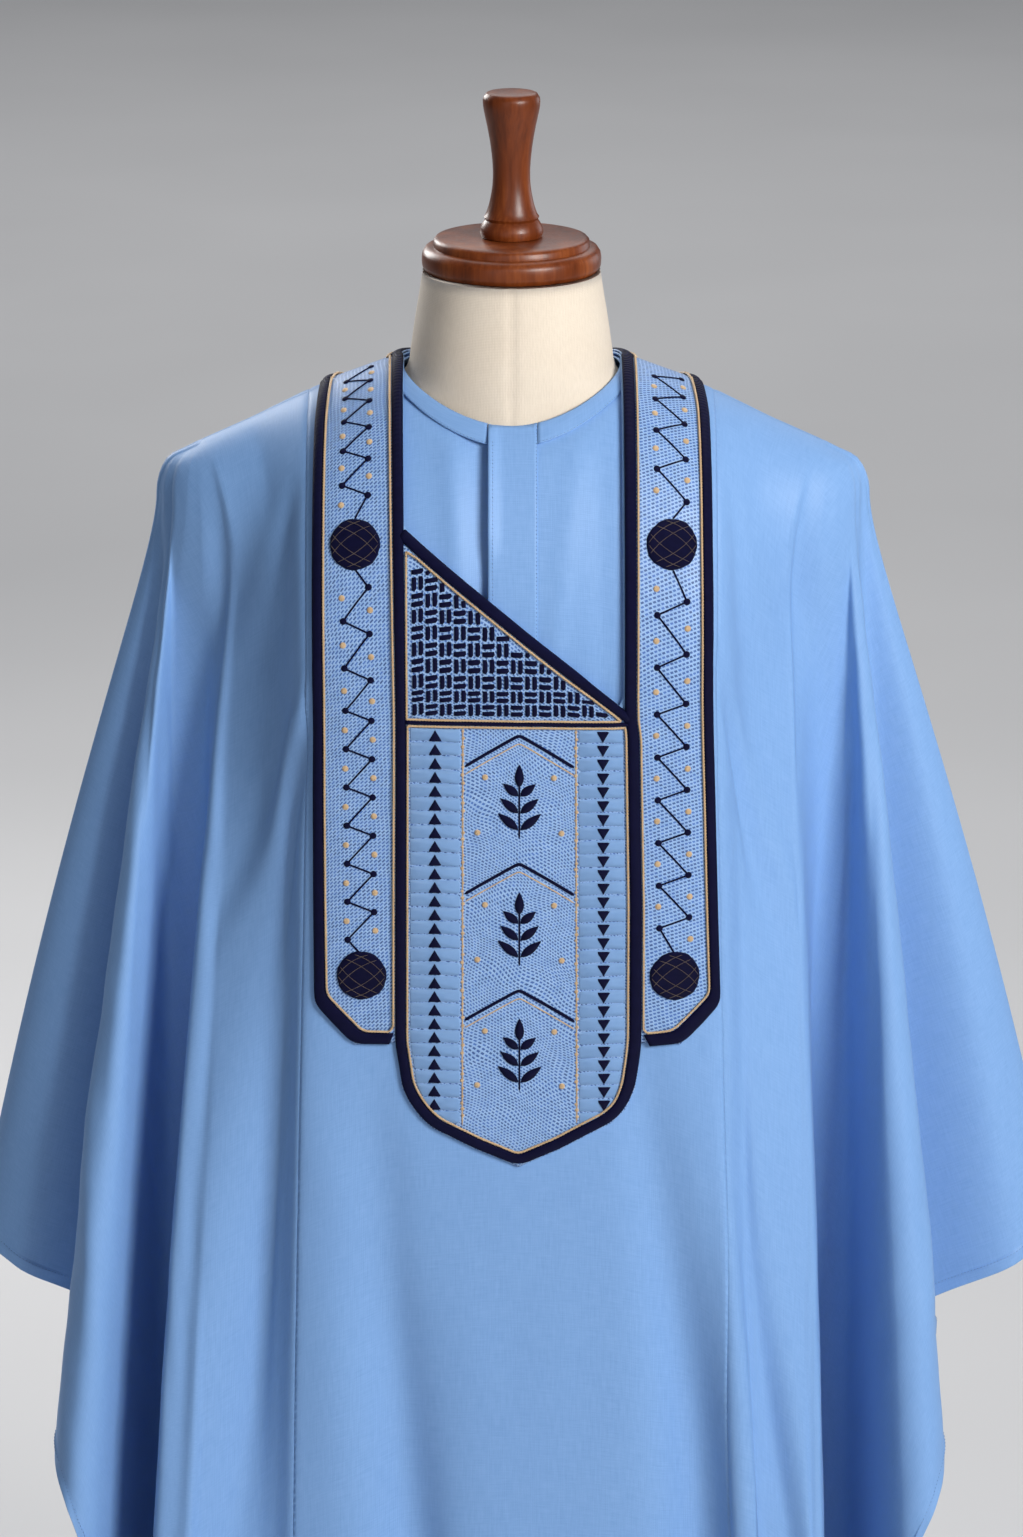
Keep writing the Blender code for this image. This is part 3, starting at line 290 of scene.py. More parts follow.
# ---------------------------------------------------------------- pattern of the centre panels
# across and down are measured on the cloth: across from the centre line, down from the shoulder line.
HALF_PANEL = 0.137  # centre line to the seam
ACROSS = [0.0, 0.074, HALF_PANEL, 0.178, 0.209]
TOPS = {FRONT: [1.505, 1.498, 1.474, 1.455, 1.441], BACK: [1.530, 1.498, 1.474, 1.455, 1.441]}

BAND_LEFT = [
    (-0.0736, 0.0008), (-0.1272, 0.0008), (-0.1289, 0.0654), (-0.1287, 0.1545), (-0.1292, 0.2603),
    (-0.1270, 0.3869), (-0.1249, 0.4593), (-0.0993, 0.5000), (-0.0728, 0.5080), (-0.0728, 0.4084),
    (-0.0727, 0.2830), (-0.0727, 0.1680), (-0.0731, 0.1100), (-0.0735, 0.0668),
]
BAND_RIGHT = [
    (0.0748, 0.0008), (0.0750, 0.0863), (0.0750, 0.1669), (0.0758, 0.2700), (0.0790, 0.2830),
    (0.0812, 0.4057), (0.0818, 0.5058), (0.1067, 0.4965), (0.1339, 0.4547), (0.1332, 0.4000),
    (0.1318, 0.2592), (0.1300, 0.1541), (0.1300, 0.0525), (0.1272, 0.0008),
]
# Its second side, the bar, and its fourth, the slope, are straight as seen from the front.
TRIANGLE = [(-0.0727, 0.1680), (-0.0727, 0.2830), (0.0790, 0.2830), (0.0758, 0.2790)]
POCKET = [
    (-0.0727, 0.2830), (-0.0728, 0.4084), (-0.0728, 0.5080), (-0.0733, 0.5263), (-0.0715, 0.5400),
    (-0.0664, 0.5518), (-0.0590, 0.5637), (-0.0504, 0.5728), (-0.0237, 0.5895), (0.0042, 0.6036),
    (0.0315, 0.5889), (0.0650, 0.5664), (0.0745, 0.5554), (0.0800, 0.5400), (0.0824, 0.5234),
    (0.0818, 0.5058), (0.0812, 0.4057), (0.0790, 0.2830),
]
FRONT_PANEL = [
    (0.1370, 0.0004), (0.0735, 0.0004), (0.0735, 0.0863), (0.0735, 0.1669), (0.0742, 0.2660),
    (0.0716, 0.2725), (-0.0690, 0.1685), (-0.0718, 0.1640), (-0.0718, 0.1100), (-0.0722, 0.0668),
    (-0.0724, 0.0004), (-0.1370, 0.0004),
]
# The slanting lower edge of the neck opening.
OPENING_LOW, OPENING_HIGH = (0.0716, 0.2725), (-0.0690, 0.1685)

# Navy edges, as lines through the middle of the ribbon, with its width.
Ribbon = namedtuple("Ribbon", "name width line")
RIBBONS = [
    Ribbon("edge_left", 0.0078, [
        (-0.1237, 0.0010), (-0.1254, 0.0654), (-0.1252, 0.1545), (-0.1257, 0.2603), (-0.1235, 0.3869),
        (-0.1216, 0.4575), (-0.0978, 0.4962), (-0.0782, 0.5035),
    ]),
    Ribbon("edge_right", 0.0078, [
        (0.1237, 0.0010), (0.1266, 0.0525), (0.1266, 0.1541), (0.1283, 0.2592), (0.1297, 0.4000),
        (0.1304, 0.4532), (0.1052, 0.4925), (0.0872, 0.5022),
    ]),
    Ribbon("edge_centre", 0.0072, [
        (-0.0762, 0.0010), (-0.0757, 0.0668), (-0.0752, 0.1100), (-0.0745, 0.1680), (-0.0730, 0.2830),
        (-0.0728, 0.4084), (-0.0725, 0.5080), (-0.0697, 0.5263), (-0.0680, 0.5386), (-0.0634, 0.5494),
        (-0.0564, 0.5606), (-0.0485, 0.5692), (-0.0222, 0.5857), (0.0040, 0.5990), (0.0300, 0.5852),
        (0.0628, 0.5630), (0.0712, 0.5532), (0.0765, 0.5388), (0.0788, 0.5234), (0.0806, 0.5058),
        (0.0812, 0.4057), (0.0803, 0.2905), (0.0788, 0.2800), (0.0786, 0.2680), (0.0782, 0.1669),
        (0.0780, 0.0863), (0.0774, 0.0010),
    ]),
    Ribbon("edge_diagonal", 0.0070, [(-0.0672, 0.1755), (0.0718, 0.2765)]),
]
Roundel = namedtuple("Roundel", "name across down radius")
ROUNDELS = [
    Roundel("roundel_upper_left", -0.1008, 0.1671, 0.0170),
    Roundel("roundel_lower_left", -0.0960, 0.4519, 0.0170),
    Roundel("roundel_upper_right", 0.1032, 0.1661, 0.0170),
    Roundel("roundel_lower_right", 0.1040, 0.4491, 0.0170),
]

# Levels above the cloth's middle surface, in metres.
SHELL = 0.0011  # thickness of a cloth shell
FILL = 0.0018  # the bib's grounds
EDGE = (0.0016, 0.0046)  # foot and crown of a navy edge
ROUND = (0.0020, 0.0046)  # rim and top of a roundel
PLACKET = -0.0031
INSET = -0.0057
INSET_FLUSH = -0.0043  # close under the placket
CORD = 0.0036  # middle of a gold cord
MOTIF = FILL + 0.0007  # threads sewn on a ground


def full_length(across, face):
    """Length of the cloth to the hem at a distance from the centre line."""
    return hem_length(np.interp(np.abs(across), ACROSS, TOPS[face]), 0.0)


def place_and_level(across, down, face):
    """A point of a centre panel's pattern, in the surface's own coordinates."""
    across, down = np.broadcast_arrays(np.asarray(across, float), np.asarray(down, float))
    step = np.interp(np.abs(across), ACROSS, range(5))
    if face < 0:
        place = np.where(across < 0, step, TURN - step)
    else:
        place = BACK_CENTRE + np.where(across < 0, -step, step)
    return place, down / full_length(across, face)


def panel_point(across, down, face):
    return cloth_point(*place_and_level(across, down, face))


def panel_normals(across, down, face):
    return cloth_normal(*place_and_level(across, down, face))


def last_length(holds, low, high, rounds):
    """The length down the cloth, between low and high, up to which a condition holds at each point."""
    for _ in range(rounds):
        mid = (low + high) / 2
        still = holds(mid)
        low, high = np.where(still, mid, low), np.where(still, high, mid)
    return low


def straight(a, b, face, steps):
    """Points from a to b on a panel, along a line that is straight when seen from the front."""
    t = np.arange(steps + 1) / steps
    across = a[0] + (b[0] - a[0]) * t
    ends = panel_point(np.array([a[0], b[0]]), np.array([a[1], b[1]]), face)[:, 2]
    height = ends[0] + (ends[1] - ends[0]) * t
    low, high = np.zeros(len(t)), np.ones(len(t))
    down = last_length(lambda mid: panel_point(across, mid, face)[:, 2] > height, low, high, 22)
    return [a] + [(float(x), float(y)) for x, y in zip(across[1:-1], down[1:-1])] + [b]


def length_at_depth(across, depth, face):
    """How far down the cloth it has come out from the shoulder line by depth."""
    low, high = np.zeros(len(across)), np.full(len(across), 0.22)
    return last_length(lambda mid: np.abs(panel_point(across, mid, face)[..., 1]) < depth, low, high, 18)


def neck_curve(face, half_width, half_depth, centre, count):
    """Points (across, down) on a panel where it meets an oval tube round the neck."""
    a = math.pi * np.arange(count + 1) / count - math.pi / 2
    x = half_width * np.sin(a)
    depth = face * centre + half_depth * np.cos(a)
    down = np.maximum(length_at_depth(x, depth, face), 0.0006)
    return [(float(u), float(v)) for u, v in zip(x, down)]


def inside(points, outline):
    """Which points lie inside a closed outline."""
    x, y = np.asarray(points).T
    result = np.zeros(len(x), bool)
    for (x0, y0), (x1, y1) in zip(outline, outline[1:] + outline[:1]):
        if y0 == y1:
            continue
        crosses = (y0 > y) != (y1 > y)
        result ^= crosses & (x < (x1 - x0) * (y - y0) / (y1 - y0) + x0)
    return result


def distance_to(points, outline):
    """How far each point is from a closed outline."""
    points = np.asarray(points)
    best = np.full(len(points), 1e9)
    for a, b in zip(outline, outline[1:] + outline[:1]):
        a, b = np.array(a), np.array(b)
        t = np.clip((points - a) @ (b - a) / ((b - a) @ (b - a) + 1e-18), 0, 1)
        best = np.minimum(best, np.linalg.norm(points - (a + t[:, None] * (b - a)), axis=1))
    return best


def offset_line(line, distance):
    """A line moved sideways, with its corners mitred."""
    line = np.asarray(line, float)
    along = unit(np.diff(line, axis=0))
    side = np.stack([-along[:, 1], along[:, 0]], axis=1)
    before = np.vstack([side[:1], side])
    mitre = unit(before + np.vstack([side, side[-1:]]))
    return line + mitre * (distance / np.sum(mitre * before, axis=1, keepdims=True))


def on_panel(across, down, face, sideways, downwards):
    """Pattern coordinates of points given by true distances from one point of the panel."""
    step = 0.002
    here, beside, below = panel_point(across + np.array([0, step, 0]), down + np.array([0, 0, step]), face)
    u_way, v_way = (beside - here) / step, (below - here) / step
    lean = u_way @ unit(v_way)
    x = sideways / np.linalg.norm(u_way - lean * unit(v_way))
    return across + x, down + (downwards - lean * x) / np.linalg.norm(v_way)


# ---------------------------------------------------------------- relief of the cloth
HEM = 0.010  # width of the turned hem
HEM_SEWING = HEM - 0.0012  # the hem's stitches, from the edge of the cloth
STEP = 0.0012  # over which a hem or a pressed seam steps up
SEAM_GROOVE = 0.0003
SHOULDER_SEAM = 0.0065  # the shoulder seam's allowance, pressed under

# Creases, by quarter of the robe: from (across, down) to (across, down) in the flat cut of that side,
# the sideways bow of the line, its half width, and how far it stands out (in, if negative).
CREASES = {
    "front_left": [
        (0.152, 0.235, 0.246, 1.700, 0.000, 0.025, -0.0150),
        (0.092, 0.440, 0.010, 1.700, 0.000, 0.020, -0.0095),
        (0.138, 0.095, 0.196, 0.215, 0.003, 0.014, -0.0032),
        (0.122, 0.215, 0.205, 0.400, 0.005, 0.010, 0.0038),
        (0.126, 0.246, 0.172, 0.440, 0.003, 0.009, -0.0042),
        (0.215, 0.050, 0.240, 0.340, 0.006, 0.011, 0.0020),
        (0.300, 0.090, 0.470, 0.460, 0.012, 0.016, 0.0018),
        (0.330, 0.070, 0.560, 0.360, 0.015, 0.015, -0.0018),
        (0.420, 0.420, 0.560, 0.930, 0.012, 0.022, 0.0030),
        (0.560, 0.180, 0.760, 0.460, 0.010, 0.020, 0.0022),
    ],
    "front_right": [
        (0.126, 0.205, 0.204, 0.400, 0.004, 0.010, -0.0048),
        (0.140, 0.090, 0.170, 0.200, 0.004, 0.013, -0.0020),
        (0.072, 0.400, 0.196, 1.700, 0.000, 0.020, -0.0110),
        (0.114, 0.420, 0.235, 1.500, 0.000, 0.012, 0.0050),
        (0.156, 0.460, 0.275, 1.500, 0.000, 0.012, -0.0060),
        (0.214, 0.040, 0.228, 0.300, 0.004, 0.010, 0.0018),
        (0.290, 0.080, 0.450, 0.500, 0.012, 0.015, 0.0020),
        (0.340, 0.075, 0.590, 0.380, 0.010, 0.014, -0.0018),
        (0.440, 0.430, 0.600, 0.900, 0.014, 0.020, 0.0028),
        (0.580, 0.160, 0.780, 0.420, 0.012, 0.020, 0.0022),
    ],
    "back_left": [
        (0.100, 0.260, 0.165, 1.700, 0.000, 0.019, -0.0115),
        (0.034, 0.440, 0.020, 1.700, 0.000, 0.018, 0.0070),
        (0.120, 0.120, 0.180, 0.330, 0.008, 0.014, -0.0034),
        (0.216, 0.050, 0.240, 0.330, 0.006, 0.011, 0.0020),
        (0.310, 0.090, 0.480, 0.480, 0.012, 0.016, 0.0022),
        (0.340, 0.070, 0.570, 0.360, 0.012, 0.015, -0.0020),
        (0.430, 0.430, 0.580, 0.900, 0.012, 0.020, 0.0028),
    ],
    "back_right": [
        (0.070, 0.300, 0.120, 1.700, 0.000, 0.020, -0.0120),
        (0.158, 0.400, 0.225, 1.700, 0.000, 0.014, -0.0080),
        (0.110, 0.110, 0.170, 0.300, 0.008, 0.013, 0.0030),
        (0.215, 0.045, 0.238, 0.320, 0.006, 0.011, 0.0020),
        (0.300, 0.085, 0.460, 0.480, 0.012, 0.016, 0.0024),
        (0.350, 0.075, 0.600, 0.370, 0.012, 0.015, -0.0020),
        (0.450, 0.420, 0.600, 0.880, 0.012, 0.020, 0.0028),
    ],
}


def round_ring(value):
    """A number for each fold line once round the robe, and the first one again."""
    return np.array([float(value(fold)) for fold, side, face in RING + RING[:1]])


# The flat cut along the ring of folds: where each fold line starts, its angle and its length.
RING_ACROSS = round_ring(lambda fold: fold.across)
RING_FAN = round_ring(lambda fold: fold.fan)
RING_LENGTH = round_ring(lambda fold: hem_length(fold.top, fold.fan))
CONE_START, CONE_END = 0.010, 0.110  # levels between which the shoulder's plain cone turns into the folds
SLEEVE_SLOPE = 0.52  # fall of the sleeve's top just below the shoulder point, in metres per metre
PANEL_FOLD = SHOULDER_FOLD - 1
TOP_LEFT, TOP_RIGHT = len(FRONT_LEFT) - 1, TURN - len(FRONT_RIGHT) + 1
QUARTER_NAMES = ["front_left", "back_left", "back_right", "front_right"]  # in the ring's order
# The places of the panel's, the shoulder's and the sleeve's fold line in each quarter.
CONE_FOLDS = [[k, BACK_CENTRE - k, BACK_CENTRE + k, TURN - k] for k in (PANEL_FOLD, SHOULDER_FOLD)]
CONE_FOLDS.append([TOP_LEFT, TOP_LEFT, TOP_RIGHT, TOP_RIGHT])


def at_place(turn, values):
    return np.interp(turn, np.arange(TURN + 1), values)


def quarter_of(turn):
    """The quarter in which a place lies, as its number in QUARTER_NAMES."""
    return np.select([turn <= TOP_LEFT, turn <= BACK_CENTRE, turn < TOP_RIGHT], [0, 1, 2], 3)


def cut_of(place, level):
    """Flat coordinates (across, down) of the robe's cut, and the distance to the cloth's nearest edge."""
    turn = np.asarray(place, float) % TURN
    fan = at_place(turn, RING_FAN)
    length = level * at_place(turn, RING_LENGTH)
    across = at_place(turn, RING_ACROSS) + length * np.sin(np.radians(fan))
    reach = np.where(fan <= math.degrees(CORNER) + 3, LENGTH, SLEEVE)
    return across, length * np.cos(np.radians(fan)), (1 - level) * reach


def crease_relief(turn, across, down):
    """The creases, summed. Each wanders a little, widens downwards and has a faint ridge beside it."""
    total = np.zeros(np.shape(across))
    quarter = quarter_of(turn)
    for name, rows in CREASES.items():
        here = quarter == QUARTER_NAMES.index(name)
        for start_across, start_down, end_across, end_down, bow, half_width, depth in rows:
            dx, dy = end_across - start_across, end_down - start_down
            size = math.hypot(dx, dy)
            t = ((across - start_across) * dx + (down - start_down) * dy) / size**2
            share = np.clip(t, 0, 1)
            off = ((across - start_across) * dy - (down - start_down) * dx) / size
            off = off - bow * np.sin(math.pi * share) * (1 + 0.35 * np.sin(9 * t + start_across * 40))
            off = off - 0.004 * np.sin(5.5 * down + start_across * 50)
            width = half_width * (0.7 + 0.6 * share)
            shape = bell(off / width) - 0.35 * bell(off / width - 1.9)
            along = smooth(t * 3.2) * smooth((1 - t) * 2.4)
            total = total + np.where(here, depth * shape * along, 0.0)
    return total


def relief(place, level, depth):
    """How far the cloth stands out of its smooth form: seams, hems, creases and small waves. There are none
    where the front lies against the back, at a small depth from the middle plane."""
    turn = np.asarray(place, float) % TURN
    across, down, to_edge = cut_of(place, level)
    free = smooth((depth - 0.004) / 0.022)
    seam = np.where(fold_number(turn) <= SHOULDER_FOLD, np.abs(across - RING_ACROSS[SEAM_FOLD]), 1.0)
    seam_relief = 0.0002 * bell((seam - 0.0045) / 0.003) - SEAM_GROOVE * bell(seam / 0.0014)
    strip = smooth((SHOULDER_SEAM - down) / STEP) * smooth((level - 0.004) / 0.004)
    shoulder_relief = 0.0006 * strip - 0.0007 * bell(down / STEP)
    hem = smooth((HEM - to_edge) / STEP)
    hem_relief = 0.0005 * hem + 0.0006 * hem * free * np.sin(across * 210 + 2.0 * np.sin(down * 47))
    waves = np.sin(across * 61 + 3.1 * np.sin(down * 9.0) + 1.3)
    waves = waves * np.sin(down * 23 + 2.2 * np.sin(across * 17))
    waves = waves + 0.5 * np.sin(across * 133 + down * 31 + 1.7 * np.sin(down * 21))
    total = (seam_relief + shoulder_relief) * smooth(level / CONE_START) + hem_relief
    total = total + 0.00030 * waves * free * smooth(level / 0.15)
    total = total + crease_relief(turn, across, down) * free * smooth(level / 0.03)
    return np.maximum(total, np.minimum(0.0025 - depth, 0))


def eased_point(place, level):
    """The robe's surface. Just below the shoulder point, where the cloth fans out, it runs straight on from
    the chest and turns into a plain cone, and its folds come in by degrees."""
    point = cloth_point(place, level)
    turn = place % TURN
    fold = fold_number(turn)
    soft = (fold > PANEL_FOLD) & (level > 0) & (level < CONE_END)
    if not soft.any():
        return point
    turn, level, fold = turn[soft], level[soft], fold[soft]
    share = at_place(turn, RING_FAN)[:, None] / 90
    length = level * at_place(turn, RING_LENGTH)
    quarter = quarter_of(turn)
    panel, body, sleeve = (np.choose(quarter, numbers) for numbers in CONE_FOLDS)
    start = cloth_point(panel, np.zeros(len(panel)))
    apex = cloth_point(body, np.zeros(len(body)))
    on_chest = cloth_point(panel, length / at_place(panel, RING_LENGTH)) - start
    on_sleeve = cloth_point(sleeve, length / at_place(sleeve, RING_LENGTH)) - apex
    chest_size, sleeve_size = (np.linalg.norm(v, axis=1, keepdims=True) for v in (on_chest, on_sleeve))
    drop = np.maximum(-SLEEVE_SLOPE * np.abs(on_sleeve[:, 0]) - on_sleeve[:, 2], -1)
    drop = drop * smooth((0.075 - level) / 0.050)
    on_sleeve[:, 2] += np.minimum(drop, 0)
    mixed = on_chest * (1 - share) + sleeve_size * unit(on_sleeve) * share
    mixed = unit(mixed) * (chest_size * (1 - share) + sleeve_size * share)
    beside = np.clip(fold - PANEL_FOLD, 0, 1)[:, None]
    cone = start * (1 - beside) + apex * beside + mixed
    plain = 1 - smooth((level - CONE_START) / (CONE_END - CONE_START))[:, None]
    point[soft] = point[soft] * (1 - plain) + cone * plain
    return point


def robe_point(place, level, height=0.0):
    """The visible cloth, with its relief, moved out by height."""
    place, level = np.broadcast_arrays(np.asarray(place, float), np.asarray(level, float))
    point = eased_point(place, level)
    out = relief(place, level, np.abs(point[..., 1])) + height
    return point + out[..., None] * cloth_normal(place, level)


def on_robe(across, down, face, height=0.0):
    """A point on a centre panel with the cloth's relief, moved out by height."""
    place, level = place_and_level(across, down, face)
    return robe_point(place, level, height)


# ---------------------------------------------------------------- making meshes
def add_mesh(name, verts, faces, material, cut=None, thickness=0.0, stands_for=(), flat_shaded=False):
    """A piece of the object from points and faces. cut holds each point's flat coordinates, for the weave."""
    mesh = bpy.data.meshes.new(name)
    mesh.from_pydata(np.asarray(verts, float).tolist(), [], [tuple(map(int, f)) for f in faces])
    if cut is not None:
        flat = np.zeros((len(verts), 3), np.float32)
        flat[:, :2] = cut
        mesh.attributes.new("cut", "FLOAT_VECTOR", "POINT").data.foreach_set("vector", flat.ravel())
    mesh.update()
    if not flat_shaded:
        mesh.polygons.foreach_set("use_smooth", np.ones(len(mesh.polygons), bool))
    mesh.materials.append(MATERIALS[material])
    made = bpy.data.objects.new(name, mesh)
    bpy.context.scene.collection.objects.link(made)
    if thickness:
        wall = made.modifiers.new("wall", "SOLIDIFY")
        wall.thickness = thickness
        wall.offset = 0.0
    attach(made, "root")
    if stands_for:
        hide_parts(*stands_for)
    return made


def grid_faces(columns, rows, closed=False):
    """Quads over points stored column by column."""
    count = columns if closed else columns - 1
    return [
        (c * rows + r, c * rows + r + 1, (c + 1) % columns * rows + r + 1, (c + 1) % columns * rows + r)
        for c in range(count)
        for r in range(rows - 1)
    ]


def run_along(line):
    """Length along a line to each of its points."""
    return np.concatenate([[0], np.cumsum(np.linalg.norm(np.diff(line, axis=0), axis=1))])


def values_at(lengths, run, values):
    return np.stack([np.interp(lengths, run, values[:, k]) for k in range(values.shape[1])], axis=1)


def resample(line, spacing):
    """The line with points about spacing apart."""
    line = np.asarray(line, float)
    run = run_along(line)
    count = max(2, int(math.ceil(run[-1] / spacing)) + 1)
    return values_at(np.linspace(0, run[-1], count), run, line)


def finer(outline, spacing):
    """A closed outline with points between its corners, about spacing apart."""
    out = []
    for a, b in zip(outline, outline[1:] + outline[:1]):
        steps = max(1, round(math.dist(a, b) / spacing))
        out += [(a[0] + (b[0] - a[0]) * t, a[1] + (b[1] - a[1]) * t) for t in np.arange(steps) / steps]
    return out


def round_corners(line, size, steps=3):
    """A line in the pattern with its corners eased."""
    line = [np.array(p, float) for p in line]
    out = [line[0]]
    for before, here, after in zip(line, line[1:], line[2:]):
        a = before - here
        b = after - here
        reach = min(size, np.linalg.norm(a) * 0.45, np.linalg.norm(b) * 0.45)
        start = here + a / np.linalg.norm(a) * reach
        end = here + b / np.linalg.norm(b) * reach
        for t in np.arange(steps + 1) / steps:
            out.append((1 - t) ** 2 * start + 2 * t * (1 - t) * here + t * t * end)
    out.append(line[-1])
    return np.array(out)


def join(parts):
    """Several (vertices, faces) as one."""
    verts, faces, first = [], [], 0
    for v, f in parts:
        verts.append(np.asarray(v, float))
        faces += [tuple(int(i) + first for i in face) for face in f]
        first += len(v)
    return np.concatenate(verts), faces


def tube_faces(rings, sides):
    """Quads over rings of points, stored ring by ring."""
    faces = []
    for first in range(0, (rings - 1) * sides, sides):
        for k in range(sides):
            after = (k + 1) % sides
            faces.append((first + k, first + after, first + sides + after, first + sides + k))
    return faces


def bar_faces(rings, sides):
    """A closed bar: the quads round it and its two ends."""
    last = (rings - 1) * sides
    return tube_faces(rings, sides) + [tuple(range(sides - 1, -1, -1)), tuple(range(last, last + sides))]


def tube(points, normals, wide, thick, sides, end_size):
    """A closed tube round points with smaller ends, and its half sizes along the cloth and out of it."""
    beside = unit(np.cross(unit(np.gradient(points, axis=0)), normals))
    above = np.cross(beside, unit(np.gradient(points, axis=0)))
    angle = np.arange(sides) * math.tau / sides
    size = np.ones((len(points), 1))
    size[[0, -1]] = end_size
    ring = points[:, None] + (size * wide * np.cos(angle))[..., None] * beside[:, None]
    ring = ring + (size * thick * np.sin(angle))[..., None] * above[:, None]
    return ring.reshape(-1, 3), bar_faces(len(points), sides)


def rope_mesh(points, normals, radius=0.00092, pitch=0.0021, sides=6):
    """A two-strand twisted cord along points."""
    angle = np.arange(sides) * math.tau / sides
    twist = run_along(points)[:, None] * math.pi / pitch
    size = 0.85 * radius * (1 + 0.30 * np.cos(2 * (angle - twist)))
    return tube(points, normals, size, size, sides, 0.45)


def thread_mesh(line, height, width, thick, spacing=0.0016):
    """A flat-oval line of stitching on the front: wide and low, with pointed ends."""
    across, down = resample(line, spacing).T
    points = on_robe(across, down, FRONT, height)
    return tube(points, panel_normals(across, down, FRONT), width / 2, thick / 2, 8, 0.35)


def button_mesh(across, down, rings, top, base):
    """A closed button on the front. rings holds (sideways, downwards, height) from the rim inwards."""
    verts = []
    for sideways, downwards, height in rings:
        verts.append(on_robe(*on_panel(across, down, FRONT, sideways, downwards), FRONT, height))
    verts += [on_robe(np.array([across]), np.array([down]), FRONT, height) for height in (top, base)]
    sides = len(verts[0])
    last, tip = (len(rings) - 1) * sides, len(rings) * sides
    faces = tube_faces(len(rings), sides)
    for k in range(sides):
        after = (k + 1) % sides
        faces += [(last + k, last + after, tip), (after, k, tip + 1)]
    return np.concatenate(verts), faces


def knot_mesh(across, down, height, radius, rise, sides=12):
    """A small round knot of thread."""
    turn = np.arange(sides) * math.tau / sides
    rings = []
    for share, up in ((1.0, 0.0), (0.94, 0.45), (0.66, 0.84), (0.30, 1.0)):
        rings.append((radius * share * np.cos(turn), radius * share * np.sin(turn), height + rise * up))
    return button_mesh(across, down, rings, height + rise * 1.02, height)


def pad_mesh(corners, height, rise, bevel, spacing=0.0035):
    """A flat-topped satin patch on the front with eased edges, from its corners in the pattern."""
    corners = np.array(corners, float)
    centre = corners.mean(axis=0)
    outline = resample(np.vstack([corners, corners[:1]]), spacing)[:-1]
    gap = np.linalg.norm(outline - centre, axis=1, keepdims=True)
    inner = centre + (outline - centre) * np.maximum(1 - bevel / np.maximum(gap, 1e-6), 0.3)
    n = len(outline)
    across, down = np.vstack([outline, outline * 0.35 + inner * 0.65, inner, centre[None]]).T
    up = np.concatenate([np.zeros(n), np.full(n, rise * 0.75), np.full(n, rise), [rise * 1.06]])
    bottom = on_robe(across[:n], down[:n], FRONT, height - 0.0006)
    verts = np.vstack([on_robe(across, down, FRONT, height + up), bottom])
    faces = tube_faces(3, n)
    centre_point, foot = 3 * n, 3 * n + 1
    for k in range(n):
        after = (k + 1) % n
        faces += [(2 * n + k, 2 * n + after, centre_point), (foot + k, foot + after, after, k)]
    faces.append(tuple(range(foot + n - 1, foot - 1, -1)))
    return verts, faces


def stitches_mesh(points, normals, pitch=0.0026, length=0.0017, width=0.0006, rise=0.0004):
    """A row of machine stitches along points: one small pillow each."""
    run = run_along(points)
    at = np.arange(pitch / 2, run[-1], pitch)
    where = values_at(at, run, points)
    up = unit(values_at(at, run, normals))
    along = unit(values_at(at + 0.0004, run, points) - values_at(at - 0.0004, run, points))
    beside = np.cross(along, up)
    shape = ((-0.5, 0, -0.3), (0, -0.5, 0.1), (0.5, 0, -0.3), (0, 0.5, 0.1), (0, 0, 1.0), (0, 0, -0.6))
    verts = [where + a * length * along + b * width * beside + c * rise * up for a, b, c in shape]
    faces = []
    for first in range(0, len(at) * len(shape), len(shape)):
        for a in range(4):
            b = (a + 1) % 4
            faces += [(first + a, first + b, first + 4), (first + b, first + a, first + 5)]
    return np.stack(verts, axis=1).reshape(-1, 3), faces


def sewing(name, rows):
    """A piece of machine sewing from rows of (points, normals)."""
    return add_mesh(name, *join([stitches_mesh(*row) for row in rows]), "blue_stitch", flat_shaded=True)


